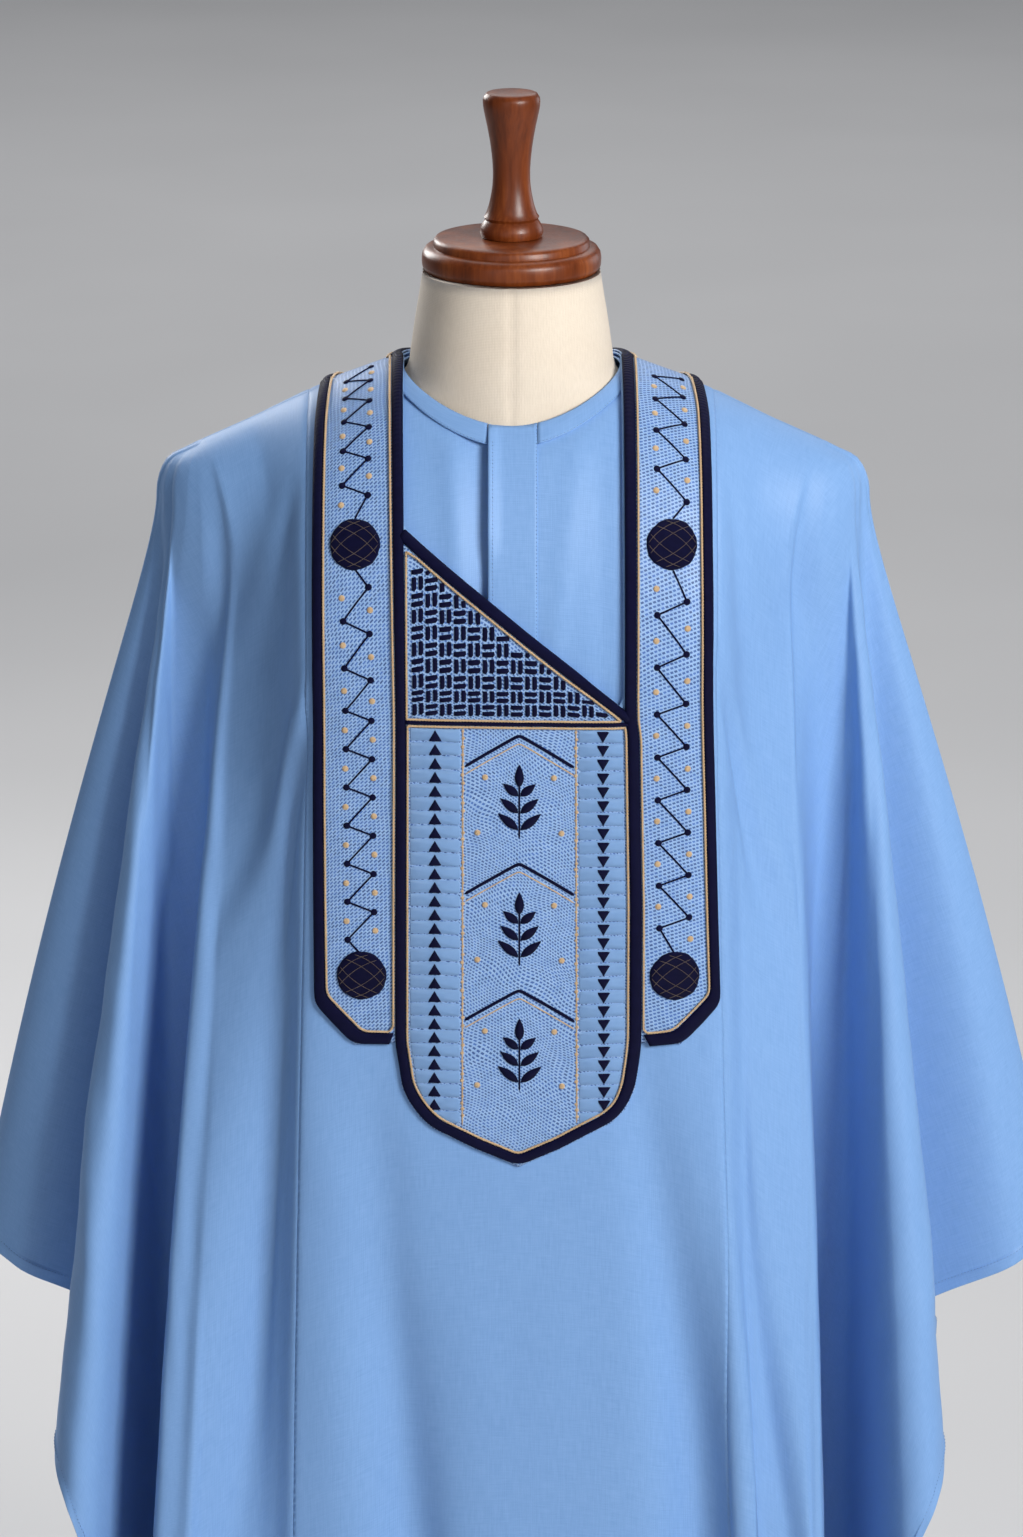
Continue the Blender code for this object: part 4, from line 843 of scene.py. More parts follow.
# ---------------------------------------------------------------- materials
class Nodes:
    """The nodes of one material. Each method makes a node and returns what comes out of it."""

    def __init__(self, name):
        self.material = bpy.data.materials.new(name)
        self.material.use_nodes = True
        self.tree = self.material.node_tree

    def put(self, socket, value):
        """Links a node's output to an input, or sets the input's own value."""
        if isinstance(value, bpy.types.NodeSocket):
            self.tree.links.new(value, socket)
        elif socket.type == "RGBA":
            socket.default_value = (*value, 1.0)
        else:
            socket.default_value = value

    def node(self, kind, inputs, **settings):
        node = self.tree.nodes.new("ShaderNode" + kind)
        for key, value in settings.items():
            setattr(node, key, value)
        for key, value in inputs.items():
            self.put(node.inputs[key], value)
        return node

    def cut(self):
        """Flat coordinates in the cloth's cut, in metres."""
        return self.node("Attribute", {}, attribute_name="cut", attribute_type="GEOMETRY").outputs["Vector"]

    def place(self):
        return self.node("TexCoord", {}).outputs["Object"]

    def scaled(self, vector, scale, turn=0.0):
        inputs = {"Vector": vector, "Scale": scale, "Rotation": (0.0, 0.0, math.radians(turn))}
        return self.node("Mapping", inputs).outputs["Vector"]

    def noise(self, vector, scale, detail=3.0, rough=0.5, output="Fac"):
        inputs = {"Vector": vector, "Scale": scale, "Detail": detail, "Roughness": rough}
        return self.node("TexNoise", inputs).outputs[output]

    def wave(self, vector, scale, direction="X", distortion=0.0):
        inputs = {"Vector": vector, "Scale": scale, "Distortion": distortion}
        return self.node("TexWave", inputs, bands_direction=direction).outputs["Fac"]

    def ramp(self, value, stops):
        node = self.node("ValToRGB", {"Fac": value})
        elements = node.color_ramp.elements
        for k, (position, colour) in enumerate(stops):
            element = elements[k] if k < 2 else elements.new(position)
            element.position = position
            element.color = (*colour, 1.0)
        return node.outputs["Color"]

    def spread(self, value, low, high, to_low, to_high):
        inputs = {"Value": value, "From Min": low, "From Max": high, "To Min": to_low, "To Max": to_high}
        return self.node("MapRange", inputs).outputs["Result"]

    def math(self, operation, a, b):
        return self.node("Math", {0: a, 1: b}, operation=operation).outputs["Value"]

    def mix(self, factor, a, b, blend="MIX"):
        """Two colours mixed. A mix node has its colour sockets at 6 and 7, and gives the colour at 2."""
        return self.node("Mix", {0: factor, 6: a, 7: b}, data_type="RGBA", blend_type=blend).outputs[2]

    def bump(self, height, distance, strength, below=None):
        inputs = {"Height": height, "Distance": distance, "Strength": strength}
        if below is not None:
            inputs["Normal"] = below
        return self.node("Bump", inputs).outputs["Normal"]

    def shader(self, inputs):
        """Gives the surface its values, and returns the finished material."""
        principled = self.tree.nodes["Principled BSDF"]
        for key, value in inputs.items():
            self.put(principled.inputs[key], value)
        return self.material


WHITE = (1.0, 1.0, 1.0)
ROBE_BLUE = (0.210, 0.388, 0.712)
ROBE_DEEP = (0.176, 0.340, 0.658)
ROBE_PALE = (0.240, 0.427, 0.757)
FILL_LIGHT = (0.340, 0.520, 0.830)
FILL_DARK = (0.270, 0.440, 0.760)
# painted shade: the dark blue painted into the gaps between the bib's fill stitches
FILL_GAP_SHADE = (0.050, 0.120, 0.330)
# thread colours as (lit, shaded) pairs: the darker copy is painted shade for the grooves between threads
SATIN = ((0.270, 0.460, 0.780), (0.180, 0.345, 0.670))
NAVY = ((0.0050, 0.0055, 0.0420), (0.0010, 0.0012, 0.0130))
GOLD = ((0.950, 0.700, 0.430), (0.560, 0.330, 0.150))
NET = ((0.200, 0.150, 0.110), (0.050, 0.035, 0.030))
SEWING = ((0.130, 0.270, 0.560), (0.080, 0.180, 0.420))


def robe_material():
    """Fine cotton satin: a close even weave, a little uneven in its threads, and a soft sheen."""
    n = Nodes("robe_cotton")
    cut = n.cut()
    warp_threads = n.noise(n.scaled(cut, (900.0, 60.0, 1.0)), 1.0, 2.0, 0.6)
    weft_threads = n.noise(n.scaled(cut, (70.0, 1000.0, 1.0)), 1.0, 2.0, 0.6)
    threads = n.math("MULTIPLY", n.math("ADD", warp_threads, weft_threads), 0.5)
    colour = n.mix(n.spread(threads, 0.35, 0.65, 0.0, 1.0), ROBE_DEEP, ROBE_PALE)
    tone = n.ramp(n.noise(cut, 7.0, 3.0), [(0.25, (0.95, 0.96, 0.98)), (0.75, WHITE)])
    weave = n.math("MULTIPLY", n.wave(cut, 260.0, "X"), n.wave(cut, 260.0, "Y"))
    return n.shader({
        "Base Color": n.mix(0.35, n.mix(1.0, colour, tone, "MULTIPLY"), ROBE_BLUE),
        "Normal": n.bump(threads, 0.0002, 0.16, n.bump(weave, 0.0002, 0.20)),
        "Roughness": n.spread(threads, 0.35, 0.65, 0.44, 0.54),
        "Sheen Weight": 0.12,
        "Sheen Roughness": 0.40,
        "Sheen Tint": (0.55, 0.74, 1.0),
        "Specular IOR Level": 0.30,
    })


def stitched_material(name, turn, length, width, swirl):
    """Rows of short stitches laid over the ground, with painted shade darkening the gaps between them. swirl
    bends the rows.
    """
    n = Nodes(name)
    cut = n.cut()
    bend = n.noise(cut, 26.0, 1.0, output="Color")
    bent = n.node("VectorMath", {0: bend, 1: (swirl, swirl, 0.0), 2: cut}, operation="MULTIPLY_ADD")
    rows = n.node("TexBrick", {
        "Vector": n.scaled(bent.outputs["Vector"], (1000.0, 1000.0, 1.0), turn),
        # the bricks are the gaps between stitches, painted dark as shade; the mortar is the lighter, raised
        # stitches
        "Color1": FILL_GAP_SHADE,
        "Color2": tuple(v * 1.8 for v in FILL_GAP_SHADE),
        "Mortar": FILL_LIGHT,
        "Scale": 1.0,
        "Mortar Size": 0.56,
        "Mortar Smooth": 0.30,
        "Brick Width": length,
        "Row Height": width,
    })
    darker = tuple(d / l for d, l in zip(FILL_DARK, FILL_LIGHT))
    tone = n.ramp(n.noise(cut, 150.0, 2.0), [(0.3, darker), (0.7, WHITE)])
    return n.shader({
        "Base Color": n.mix(1.0, rows.outputs["Color"], tone, "MULTIPLY"),
        "Normal": n.bump(rows.outputs["Fac"], 0.0006, 0.9),
        "Roughness": 0.50,
        "Sheen Weight": 0.10,
        "Sheen Roughness": 0.4,
    })


def thread_material(name, colours, pitch, direction="X", turn=0.0, rough=0.42, sheen=0.3, specular=0.5):
    """Satin stitch: threads side by side, across the shape, from their lit colour and a darker copy painted
    as shade in the grooves between them.
    """
    n = Nodes(name)
    place = n.place()
    lines = n.wave(n.scaled(place, WHITE, turn), 0.5 / pitch, direction, 0.6)
    patches = n.spread(n.noise(place, 180.0, 2.0), 0.3, 0.7, 0.6, 1.0)
    light, dark = colours
    return n.shader({
        # painted shade: the thread lines darken to the shaded colour between threads; the patches are random
        # tone
        "Base Color": n.ramp(n.math("MULTIPLY", lines, patches), [(0.05, dark), (0.75, light)]),
        "Normal": n.bump(lines, 0.0004, 0.7),
        "Roughness": rough,
        "Sheen Weight": sheen,
        "Sheen Roughness": 0.35,
        "Specular IOR Level": specular,
    })


def linen_material():
    """Natural linen in a plain weave, with thicker fibres here and there."""
    n = Nodes("form_linen")
    place = n.place()
    weave = n.math("MULTIPLY", n.wave(place, 300.0, "X", 0.4), n.wave(place, 300.0, "Z", 0.4))
    colour = n.ramp(n.noise(place, 14.0, 4.0), [(0.3, (0.76, 0.655, 0.535)), (0.7, (0.83, 0.735, 0.615))])
    fibres = n.noise(n.scaled(place, (1500.0, 1500.0, 160.0)), 1.0, 2.0)
    tone = n.ramp(fibres, [(0.3, (0.93, 0.925, 0.915)), (0.7, WHITE)])
    return n.shader({
        "Base Color": n.mix(1.0, colour, tone, "MULTIPLY"),
        "Normal": n.bump(fibres, 0.0002, 0.3, n.bump(weave, 0.0003, 0.35)),
        "Roughness": 0.82,
        "Sheen Weight": 0.15,
    })


def wood_material():
    """Reddish-brown turned wood under satin varnish, its grain along the axis."""
    n = Nodes("varnished_wood")
    place = n.place()
    wide = n.noise(n.scaled(place, (38.0, 38.0, 6.0)), 1.0, 4.0, 0.6)
    fine = n.noise(n.scaled(place, (420.0, 420.0, 22.0)), 1.0, 3.0, 0.6)
    grain = n.math("ADD", n.math("MULTIPLY", wide, 0.7), n.math("MULTIPLY", fine, 0.3))
    stops = [(0.30, (0.058, 0.011, 0.002)), (0.50, (0.160, 0.033, 0.006)), (0.68, (0.285, 0.073, 0.014))]
    return n.shader({
        "Base Color": n.ramp(grain, stops),
        "Roughness": n.spread(fine, 0.3, 0.7, 0.30, 0.42),
        "Normal": n.bump(fine, 0.0002, 0.18),
        "Specular IOR Level": 0.35,
        "Coat Weight": 0.12,
        "Coat Roughness": 0.25,
    })


def paint_material():
    """Dark satin paint on the pole."""
    n = Nodes("pole_paint")
    grain = n.noise(n.place(), 500.0, 3.0)
    return n.shader({
        "Base Color": n.ramp(grain, [(0.3, (0.022, 0.017, 0.015)), (0.7, (0.034, 0.027, 0.023))]),
        "Normal": n.bump(grain, 0.0001, 0.3),
        "Roughness": 0.38,
        "Coat Weight": 0.2,
    })


def floor_material():
    n = Nodes("pale_floor")
    cloud = n.noise(n.place(), 1.2, 2.0)
    colour = n.ramp(cloud, [(0.3, (0.60, 0.60, 0.61)), (0.7, (0.63, 0.63, 0.64))])
    return n.shader({"Base Color": colour, "Roughness": 0.8})


MATERIALS = {
    "robe": robe_material(),
    "band_fill": stitched_material("band_stitches", 38.0, 3.0, 2.05, 0.003),
    "seed_fill": stitched_material("seed_stitches", -35.0, 2.6, 2.0, 0.016),
    "satin_blue": thread_material("satin_blue_thread", SATIN, 0.0011),
    "navy_thread": thread_material("navy_satin_thread", NAVY, 0.0011, "Z", 20.0, 0.60, 0.0, 0.10),
    "net_thread": thread_material("gold_net_thread", NET, 0.0006, "Z", 30.0, 0.4, 0.0),
    "gold_thread": thread_material("gold_cord_thread", GOLD, 0.0006, "Z", 30.0, 0.36, 0.1),
    "blue_stitch": thread_material("blue_sewing_thread", SEWING, 0.0006),
    "linen": linen_material(),
    "wood": wood_material(),
    "paint": paint_material(),
}

# ---------------------------------------------------------------- robe panels
Sheet = namedtuple("Sheet", "made flat area with_pieces")
SHEETS = []
PANEL_STEP = 0.0036  # between points across a centre panel
PANEL_ROW_STEP = 0.0062  # and down it


def wing_levels():
    """Levels down a wing: close together at the shoulder, the seam strip and the hem."""
    start = [0.0022, 0.0044, 0.0070, 0.0100, 0.0140, 0.0190, 0.0250, 0.0320, 0.0400, 0.0490]
    middle = np.linspace(0.058, 0.962, 104)
    # millimetres from the cloth's edge
    end = [40, 34, 28, 24, 21.5, 20, 18.5, 16, 13.5, 11.8, 10.7, 9.9, 9.0, 7.5, 5.4, 4.0, 2.5, 1.2, 0]
    return np.concatenate([start, middle, 1 - np.array(end) / 1000 / LENGTH])


def wing(name, quarter, folds, width, length, area):
    """One wing, from its seam with the centre panel round to the shoulder seam. width, length and area are of
    its flat cut as it shows, opened out round the shoulder point."""
    start, step = QUARTERS[quarter]
    top_fold = len(folds) - 1 if quarter.startswith("front") else len(folds)
    steps = [2, 2.015, 2.03, 2.05, 2.08, 2.13, 2.2]
    steps += list(np.linspace(2.28, SHOULDER_FOLD, 19)[:-1])
    apex = len(steps)
    steps += list(np.linspace(SHOULDER_FOLD, top_fold - 0.08, int(11.5 * (top_fold - SHOULDER_FOLD))))
    steps += [top_fold - 0.05, top_fold - 0.025, top_fold - 0.01, top_fold]
    places = start + step * np.array(steps, float)
    place, level = np.meshgrid(places, wing_levels(), indexing="ij")
    columns, rows = place.shape
    top_places = places[: apex + 1]
    verts = np.concatenate([robe_point(place, level).reshape(-1, 3), cloth_point(top_places, 0.0)])
    cuts = (cut_of(place, level), cut_of(top_places, 0.0))
    flat = np.concatenate([np.stack([across.ravel(), down.ravel()], axis=1) for across, down, _ in cuts])
    flat[:, 0] *= -1 if quarter.endswith("left") else 1

    def at(column, row):
        return column * rows + row if row >= 0 else columns * rows + min(column, apex)

    faces = []
    for c in range(columns - 1):
        for r in range(-1, rows - 1):
            faces.append(tuple(dict.fromkeys([at(c, r), at(c, r + 1), at(c + 1, r + 1), at(c + 1, r)])))
    made = add_mesh("robe_" + name, verts, faces, "robe", flat, SHELL, (name,))
    SHEETS.append(Sheet(made, (width, length), area, [wing_stitches(places, name)]))


def wing_stitches(places, name):
    """The sewing of the turned hem, round the lower edge and the sleeve opening."""
    fine = np.linspace(places[0], places[-1], len(places) * 6)
    level = np.full(len(fine), 0.99)
    for _ in range(3):
        to_edge = cut_of(fine, level)[2]
        level = 1 - (1 - level) * HEM_SEWING / np.maximum(to_edge, 1e-6)
    return sewing("hem_stitches_" + name, [(robe_point(fine, level, SHELL / 2), cloth_normal(fine, level))])


def triangulate(inner, outline):
    """Triangles over points in a closed outline, turned one way: flat points, faces and their area."""
    points = [Vector(p) for p in inner] + [Vector(p) for p in outline]
    first = len(inner)
    edges = [(first + k, first + (k + 1) % len(outline)) for k in range(len(outline))]
    flat, _, faces, *_ = delaunay_2d_cdt(points, edges, [], 1, 1e-6)
    flat = np.array([tuple(v) for v in flat])
    faces = np.array([tuple(f) for f in faces])
    a, b, c = (flat[faces[:, k]] for k in range(3))
    area = (b - a)[:, 0] * (c - a)[:, 1] - (b - a)[:, 1] * (c - a)[:, 0]
    faces = np.where((area < 0)[:, None], faces[:, ::-1], faces)[np.abs(area) > 1e-10]
    return flat, faces, float(np.abs(area).sum() / 2)


def panel_sheet(name, outline, steps, face, height, material, thickness, stands_for, reshape=None):
    """A fine sheet in an outline of a centre panel's pattern. steps are those across and down between its
    points, and reshape(points, flat) moves them."""
    across_step, down_step = steps
    outline = [tuple(map(float, p)) for p in outline]
    low, high = np.min(outline, axis=0), np.max(outline, axis=0)
    columns = np.arange(low[0] + across_step / 2, high[0], across_step)
    rows = np.arange(low[1] + across_step / 2, high[1], down_step)
    grid = np.array([(c, r) for c in columns for r in rows])
    grid = grid[inside(grid, outline) & (distance_to(grid, outline) > 0.0016)]
    flat, faces, area = triangulate(grid, finer(outline, across_step))
    points = on_robe(flat[:, 0], flat[:, 1], face, height)
    if reshape:
        reshape(points, flat)
    made = add_mesh(name, points, faces, material, flat, thickness, stands_for)
    return made, tuple(float(x) for x in np.ptp(flat, axis=0)), area


def centre_panel(name, outline, face):
    """A centre panel with its seams and hem: the piece, its area and the hem's stitches."""
    edges = [0.0008, 0.0018, 0.0030]  # columns close to the seam
    columns = np.linspace(0.006 - HALF_PANEL, HALF_PANEL - 0.006, int(2 * HALF_PANEL / PANEL_STEP))
    columns = [e - HALF_PANEL for e in edges] + list(columns) + [HALF_PANEL - e for e in edges]
    rows = [0.0014, 0.003, 0.0052, 0.0064, 0.0076, 0.010, 0.014]
    rows += list(np.arange(0.019, float(full_length(HALF_PANEL, face)) - 0.03, PANEL_ROW_STEP))
    grid = [(c, r) for c in columns for r in rows]
    for from_edge in (0.0012, 0.003, 0.0055, 0.0078, 0.0090, 0.0099, 0.0107, 0.0120, 0.015, 0.020, 0.025):
        grid += [(c, float(full_length(c, face)) - from_edge) for c in columns]
    grid = np.array(grid)
    grid = grid[inside(grid, outline) & (distance_to(grid, outline) > 0.0006)]
    flat, faces, area = triangulate(grid, finer(outline, PANEL_STEP))
    points = on_robe(flat[:, 0], flat[:, 1], face)
    made = add_mesh("robe_" + name, points, faces, "robe", flat, SHELL, (name,))
    across = np.linspace(-0.1368, 0.1368, 200)
    down = full_length(across, face) - HEM_SEWING
    row = (on_robe(across, down, face, SHELL / 2), panel_normals(across, down, face))
    return made, area, sewing("hem_stitches_" + name, [row])


def hem_outline(face):
    across = np.linspace(-HALF_PANEL, HALF_PANEL, 33)
    return [(float(u), float(full_length(u, face))) for u in across]


wing("front_wing_left", "front_left", FRONT_LEFT, 0.525, 1.345, 0.481)
wing("front_wing_right", "front_right", FRONT_RIGHT, 0.509, 1.352, 0.435)
wing("back_wing_left", "back_left", BACK_LEFT, 0.472, 1.352, 0.417)
wing("back_wing_right", "back_right", BACK_RIGHT, 0.470, 1.354, 0.412)

front_outline = hem_outline(FRONT) + FRONT_PANEL
corner = front_outline.index(OPENING_LOW)
front_outline[corner : corner + 2] = straight(OPENING_LOW, OPENING_HIGH, FRONT, 8)
front = centre_panel("front_centre", front_outline, FRONT)

NECK_CENTRE = -0.004  # the neck's axis, forward of the middle plane
BAND_MIDDLE = 0.0487  # half the stretch of the back band's lower curve that is rounded
neck_inner = neck_curve(BACK, 0.0740, 0.0800, NECK_CENTRE, 24)
neck_outer = neck_curve(BACK, 0.1272, 0.1180, NECK_CENTRE, 48)
neck_outer = [(x, y if abs(x) > BAND_MIDDLE else 0.2127 - 15.6 * x * x) for x, y in neck_outer]
back_outline = hem_outline(BACK) + [(HALF_PANEL, 0.0004)] + neck_inner[::-1] + [(-HALF_PANEL, 0.0004)]
back = centre_panel("back_centre", back_outline, BACK)


# ---------------------------------------------------------------- embroidered bib: grounds and navy edges
SEWN_ON = {FRONT: [], BACK: []}  # what is sewn on each centre panel
GROUND_STEP = 0.0042  # between points of a ground
GROUND_WALL = 0.0010  # its thickness
CORNER_EASE = 0.006  # length over which the corners of an edge are rounded
RIBBON_STEP = 0.003  # between points along an edge


def embroider(name, parts, material, stands_for=(), face=FRONT):
    """One piece of the bib, from many (vertices, faces)."""
    SEWN_ON[face].append(add_mesh(name, *join(parts), material, stands_for=stands_for))


def ground(name, outline, material, stands_for, face=FRONT):
    steps = (GROUND_STEP, GROUND_STEP)
    sheet = panel_sheet(name, outline, steps, face, FILL, material, GROUND_WALL, (stands_for,))
    SEWN_ON[face].append(sheet[0])


bar_line = straight(TRIANGLE[1], TRIANGLE[2], FRONT, 12)
slope_line = straight(TRIANGLE[3], TRIANGLE[0], FRONT, 16)
ground("bib_ground_left", BAND_LEFT, "band_fill", "bib_band_left")
ground("bib_ground_right", BAND_RIGHT, "band_fill", "bib_band_right")
ground("bib_ground_triangle", bar_line + slope_line, "seed_fill", "bib_triangle")
ground("bib_ground_pocket", POCKET[1:-1] + bar_line[::-1], "seed_fill", "bib_pocket")


def ribbon(name, width, line, face=FRONT, stands_for=()):
    """A padded satin edge with a full rounded crown, along a line."""
    line = resample(round_corners(line, CORNER_EASE), RIBBON_STEP)
    angle = np.linspace(0, math.pi, 9)
    shifts = [*(-width / 2 * np.cos(angle)), 0.0]
    heights = [*(EDGE[0] + (EDGE[1] - EDGE[0]) * np.sin(angle) ** 0.55), EDGE[0] - 0.0008]
    sides = [on_robe(*offset_line(line, shift).T, face, height) for shift, height in zip(shifts, heights)]
    verts = np.stack(sides, axis=1)
    faces = [ring[::-1] for ring in bar_faces(*verts.shape[:2])]
    embroider("bib_" + name, [(verts.reshape(-1, 3), faces)], "navy_thread", stands_for, face)


def lengthened(line, before, after):
    """A line run on at its two ends."""
    line = np.array(line, float)
    start = line[0] + unit(line[0] - line[1]) * before
    return np.vstack([start, line, line[-1] + unit(line[-1] - line[-2]) * after])


def bar(across, shift=0.0):
    """Points of the line between triangle and pocket, moved down by shift."""
    across = np.asarray(across, float)
    down = np.interp(across, [p[0] for p in bar_line], [p[1] for p in bar_line])
    return np.stack([across, down + shift], axis=-1)


EDGES = {row.name: row for row in RIBBONS}
BAR_WIDTH = 0.0026
BACK_EDGE = 0.0074  # width of the two edges behind the neck
diagonal_line = straight(EDGES["edge_diagonal"].line[0], EDGES["edge_diagonal"].line[-1], FRONT, 16)
for name, row in EDGES.items():
    line = lengthened(diagonal_line, 0.0070, 0.0068) if name == "edge_diagonal" else row.line
    ribbon(name, row.width, line, FRONT, (name,))
ribbon("edge_bar", BAR_WIDTH, bar(np.linspace(-0.0700, 0.0768, 24)))
ground("bib_ground_back", neck_outer + neck_inner[::-1], "band_fill", "neck_band_back", BACK)
back_edges = [offset_line(neck_inner, 0.0040), offset_line(neck_outer, -0.0040)]
for name, line in zip(("edge_back_inner", "edge_back_outer"), back_edges):
    line[[0, -1], 1] = 0.0010
    ribbon(name, BACK_EDGE, line, BACK, (name,))


# ---------------------------------------------------------------- bib: cords
CORD_IN = 0.0010  # from a navy edge to the middle of the cord beside it
BESIDE_BAR = BAR_WIDTH / 2 + CORD_IN


def gold_cord(name, lines, face=FRONT):
    """Gold cords laid along lines of a panel."""
    parts = []
    for line in lines:
        across, down = resample(line, 0.0006).T
        parts.append(rope_mesh(on_robe(across, down, face, CORD), panel_normals(across, down, face)))
    embroider(name, parts, "gold_thread", face=face)


def beside(line, width, towards):
    """The line of the cord beside an edge, on the side where a point lies."""
    a, b = (offset_line(line, side * (width / 2 + CORD_IN)) for side in (1, -1))
    return a if math.dist(a.mean(axis=0), towards) < math.dist(b.mean(axis=0), towards) else b


smooth_edges = {row.name: resample(round_corners(row.line, CORNER_EASE), RIBBON_STEP) for row in RIBBONS}
centre = smooth_edges["edge_centre"]
centre_width = EDGES["edge_centre"].width
inner_side = beside(centre, centre_width, (0.0, 0.30))
outer_side = beside(centre, centre_width, (0.0, 0.90))


def band_cord(edge, towards, stop, join_at):
    """The cord round one band: along its outer edge, then back up beside the centre edge."""
    line = beside(smooth_edges[edge], EDGES[edge].width, towards)
    line = line[np.abs(line[:, 0]) > stop]
    at = int(np.argmin(np.linalg.norm(centre - join_at, axis=1)))
    back_up = outer_side[:at][::-1] if join_at[0] < 0 else outer_side[at:]
    back_up = back_up[back_up[:, 1] < line[-1, 1] - 0.001]
    return round_corners(np.vstack([line, back_up]), 0.002)


gold_cord("gold_cord_left", [band_cord("edge_left", (-0.1, 0.25), 0.0785, (-0.0725, 0.5040))])
gold_cord("gold_cord_right", [band_cord("edge_right", (0.1, 0.25), 0.0865, (0.0808, 0.5040))])

inner_low = inner_side[inner_side[:, 1] > bar_line[0][1] + BESIDE_BAR]
across_pocket = np.linspace(inner_low[-1, 0], inner_low[0, 0], 60)
gold_cord("gold_cord_pocket", [np.vstack([inner_low, bar(across_pocket, BESIDE_BAR), inner_low[:1]])])


def triangle_cord():
    """The cord round the triangle, under the diagonal, above the bar and beside the centre edge."""
    slope = beside(diagonal_line, EDGES["edge_diagonal"].width, (-0.05, 0.26))
    rate = (slope[-1, 1] - slope[0, 1]) / (slope[-1, 0] - slope[0, 0])
    above_bar = slope[:, 1] < bar(slope[:, 0], -BESIDE_BAR - 0.001)[:, 1]
    slope = slope[(slope[:, 0] > left_side + 0.001) & above_bar]
    top_corner = (left_side, slope[0, 1] - (slope[0, 0] - left_side) * rate)
    end = slope[-1, 0]
    for _ in range(8):
        end = slope[-1, 0] + (bar(end, -BESIDE_BAR)[1] - slope[-1, 1]) / rate
    return np.vstack([[top_corner], slope, bar(np.linspace(end, left_side, 60), -BESIDE_BAR), [top_corner]])


left_side = float(inner_side[np.argmin(np.abs(inner_side[: len(centre) // 3, 1] - 0.23)), 0])
gold_cord("gold_cord_triangle", [triangle_cord()])
back_cords = [offset_line(line, side * (BACK_EDGE / 2 + CORD_IN)) for line, side in zip(back_edges, (1, -1))]
for line in back_cords:
    line[[0, -1], 1] = 0.0012
gold_cord("gold_cord_back", back_cords, BACK)


# ---------------------------------------------------------------- bib: bands
Band = namedtuple("Band", "name half_wave step first roundels")
BANDS = [
    Band("left", 0.0078, 0.0131, 0.0120, ("roundel_upper_left", "roundel_lower_left")),
    Band("right", 0.0090, 0.0150, 0.0150, ("roundel_upper_right", "roundel_lower_right")),
]
ROUNDEL = {row.name: row for row in ROUNDELS}
NODE = 0.0024  # radius of a navy knot
DOT = 0.0023  # radius of a gold knot


def band_motifs(band):
    """The zigzag of the band, with a knot at each bend and a gold one across from it."""
    upper, lower = (ROUNDEL[name] for name in band.roundels)
    stretches = [(band.first, upper.down - upper.radius + 0.002, 1)]
    stretches.append((upper.down + upper.radius - 0.002, lower.down - lower.radius + 0.002, -1))
    dark, gold = [], []
    for low, high, first_side in stretches:
        count = max(2, int(round((high - low) / band.step)))
        line = []
        for k in range(count + 1):
            down = low + (high - low) / count * k
            share = max(0.0, (down - upper.down) / (lower.down - upper.down))
            middle = upper.across + (lower.across - upper.across) * share
            side = first_side * (1 if k % 2 == 0 else -1)
            after_roundel = k == 0 and low > band.first
            if k == count or after_roundel:
                line.append((middle, down))
                continue
            line.append((middle + side * band.half_wave, down))
            dark.append(knot_mesh(*line[-1], MOTIF - 0.0005, NODE, 0.0013))
            if k > 0:
                across = middle - side * (band.half_wave + 0.0006)
                gold.append(knot_mesh(across, down, MOTIF - 0.0005, DOT, 0.0013, 8))
        dark.append(thread_mesh(line, MOTIF, 0.00125, 0.0011))
    embroider("zigzag_" + band.name, dark, "navy_thread")
    embroider("gold_knots_" + band.name, gold, "gold_thread")


ROUNDEL_SHARES = [1.0, 0.99, 0.955, 0.90, 0.80, 0.66, 0.50, 0.34, 0.18]  # radius of each ring, rim to middle
ROUNDEL_UPS = [0.0, 0.42, 0.70, 0.86, 0.94, 0.97, 0.985, 0.995, 1.0]  # and how far up it is


def roundel(row):
    """A padded disc of navy satin stitch with a net of gold thread over it."""
    turn = np.arange(56) * math.tau / 56
    edge = 1 + 0.012 * np.sin(7 * turn + row.down * 90) + 0.008 * np.sin(17 * turn)
    rings = []
    for share, up in zip(ROUNDEL_SHARES, ROUNDEL_UPS):
        radius = row.radius * share * edge
        quilt = 0.00018 * np.cos(6 * turn) * share * (up > 0.5)
        height = ROUND[0] + (ROUND[1] - ROUND[0]) * up + quilt
        rings.append((radius * np.cos(turn), radius * np.sin(turn), height))
    disc = button_mesh(row.across, row.down, rings, ROUND[1], ROUND[0] - 0.0004)
    embroider("disc_" + row.name, [disc], "navy_thread", (row.name,))
    nets = []
    radius = row.radius * 0.93
    t = np.linspace(-1, 1, 22)
    for tilt in (0.62, -0.62):
        for shift in (-0.62, -0.22, 0.20, 0.60):
            along = t * math.sqrt(1 - shift * shift) * radius
            off = shift * radius + math.copysign(0.0022, shift) * (1 - t * t)
            x = along * math.cos(tilt) - off * math.sin(tilt)
            y = along * math.sin(tilt) + off * math.cos(tilt)
            line = np.stack(on_panel(row.across, row.down, FRONT, x, y), axis=1)
            nets.append(thread_mesh(line, ROUND[1] + 0.00002, 0.00040, 0.00040, 0.0012))
    embroider("net_" + row.name, nets, "net_thread")


for band in BANDS:
    band_motifs(band)
for row in ROUNDELS:
    roundel(row)


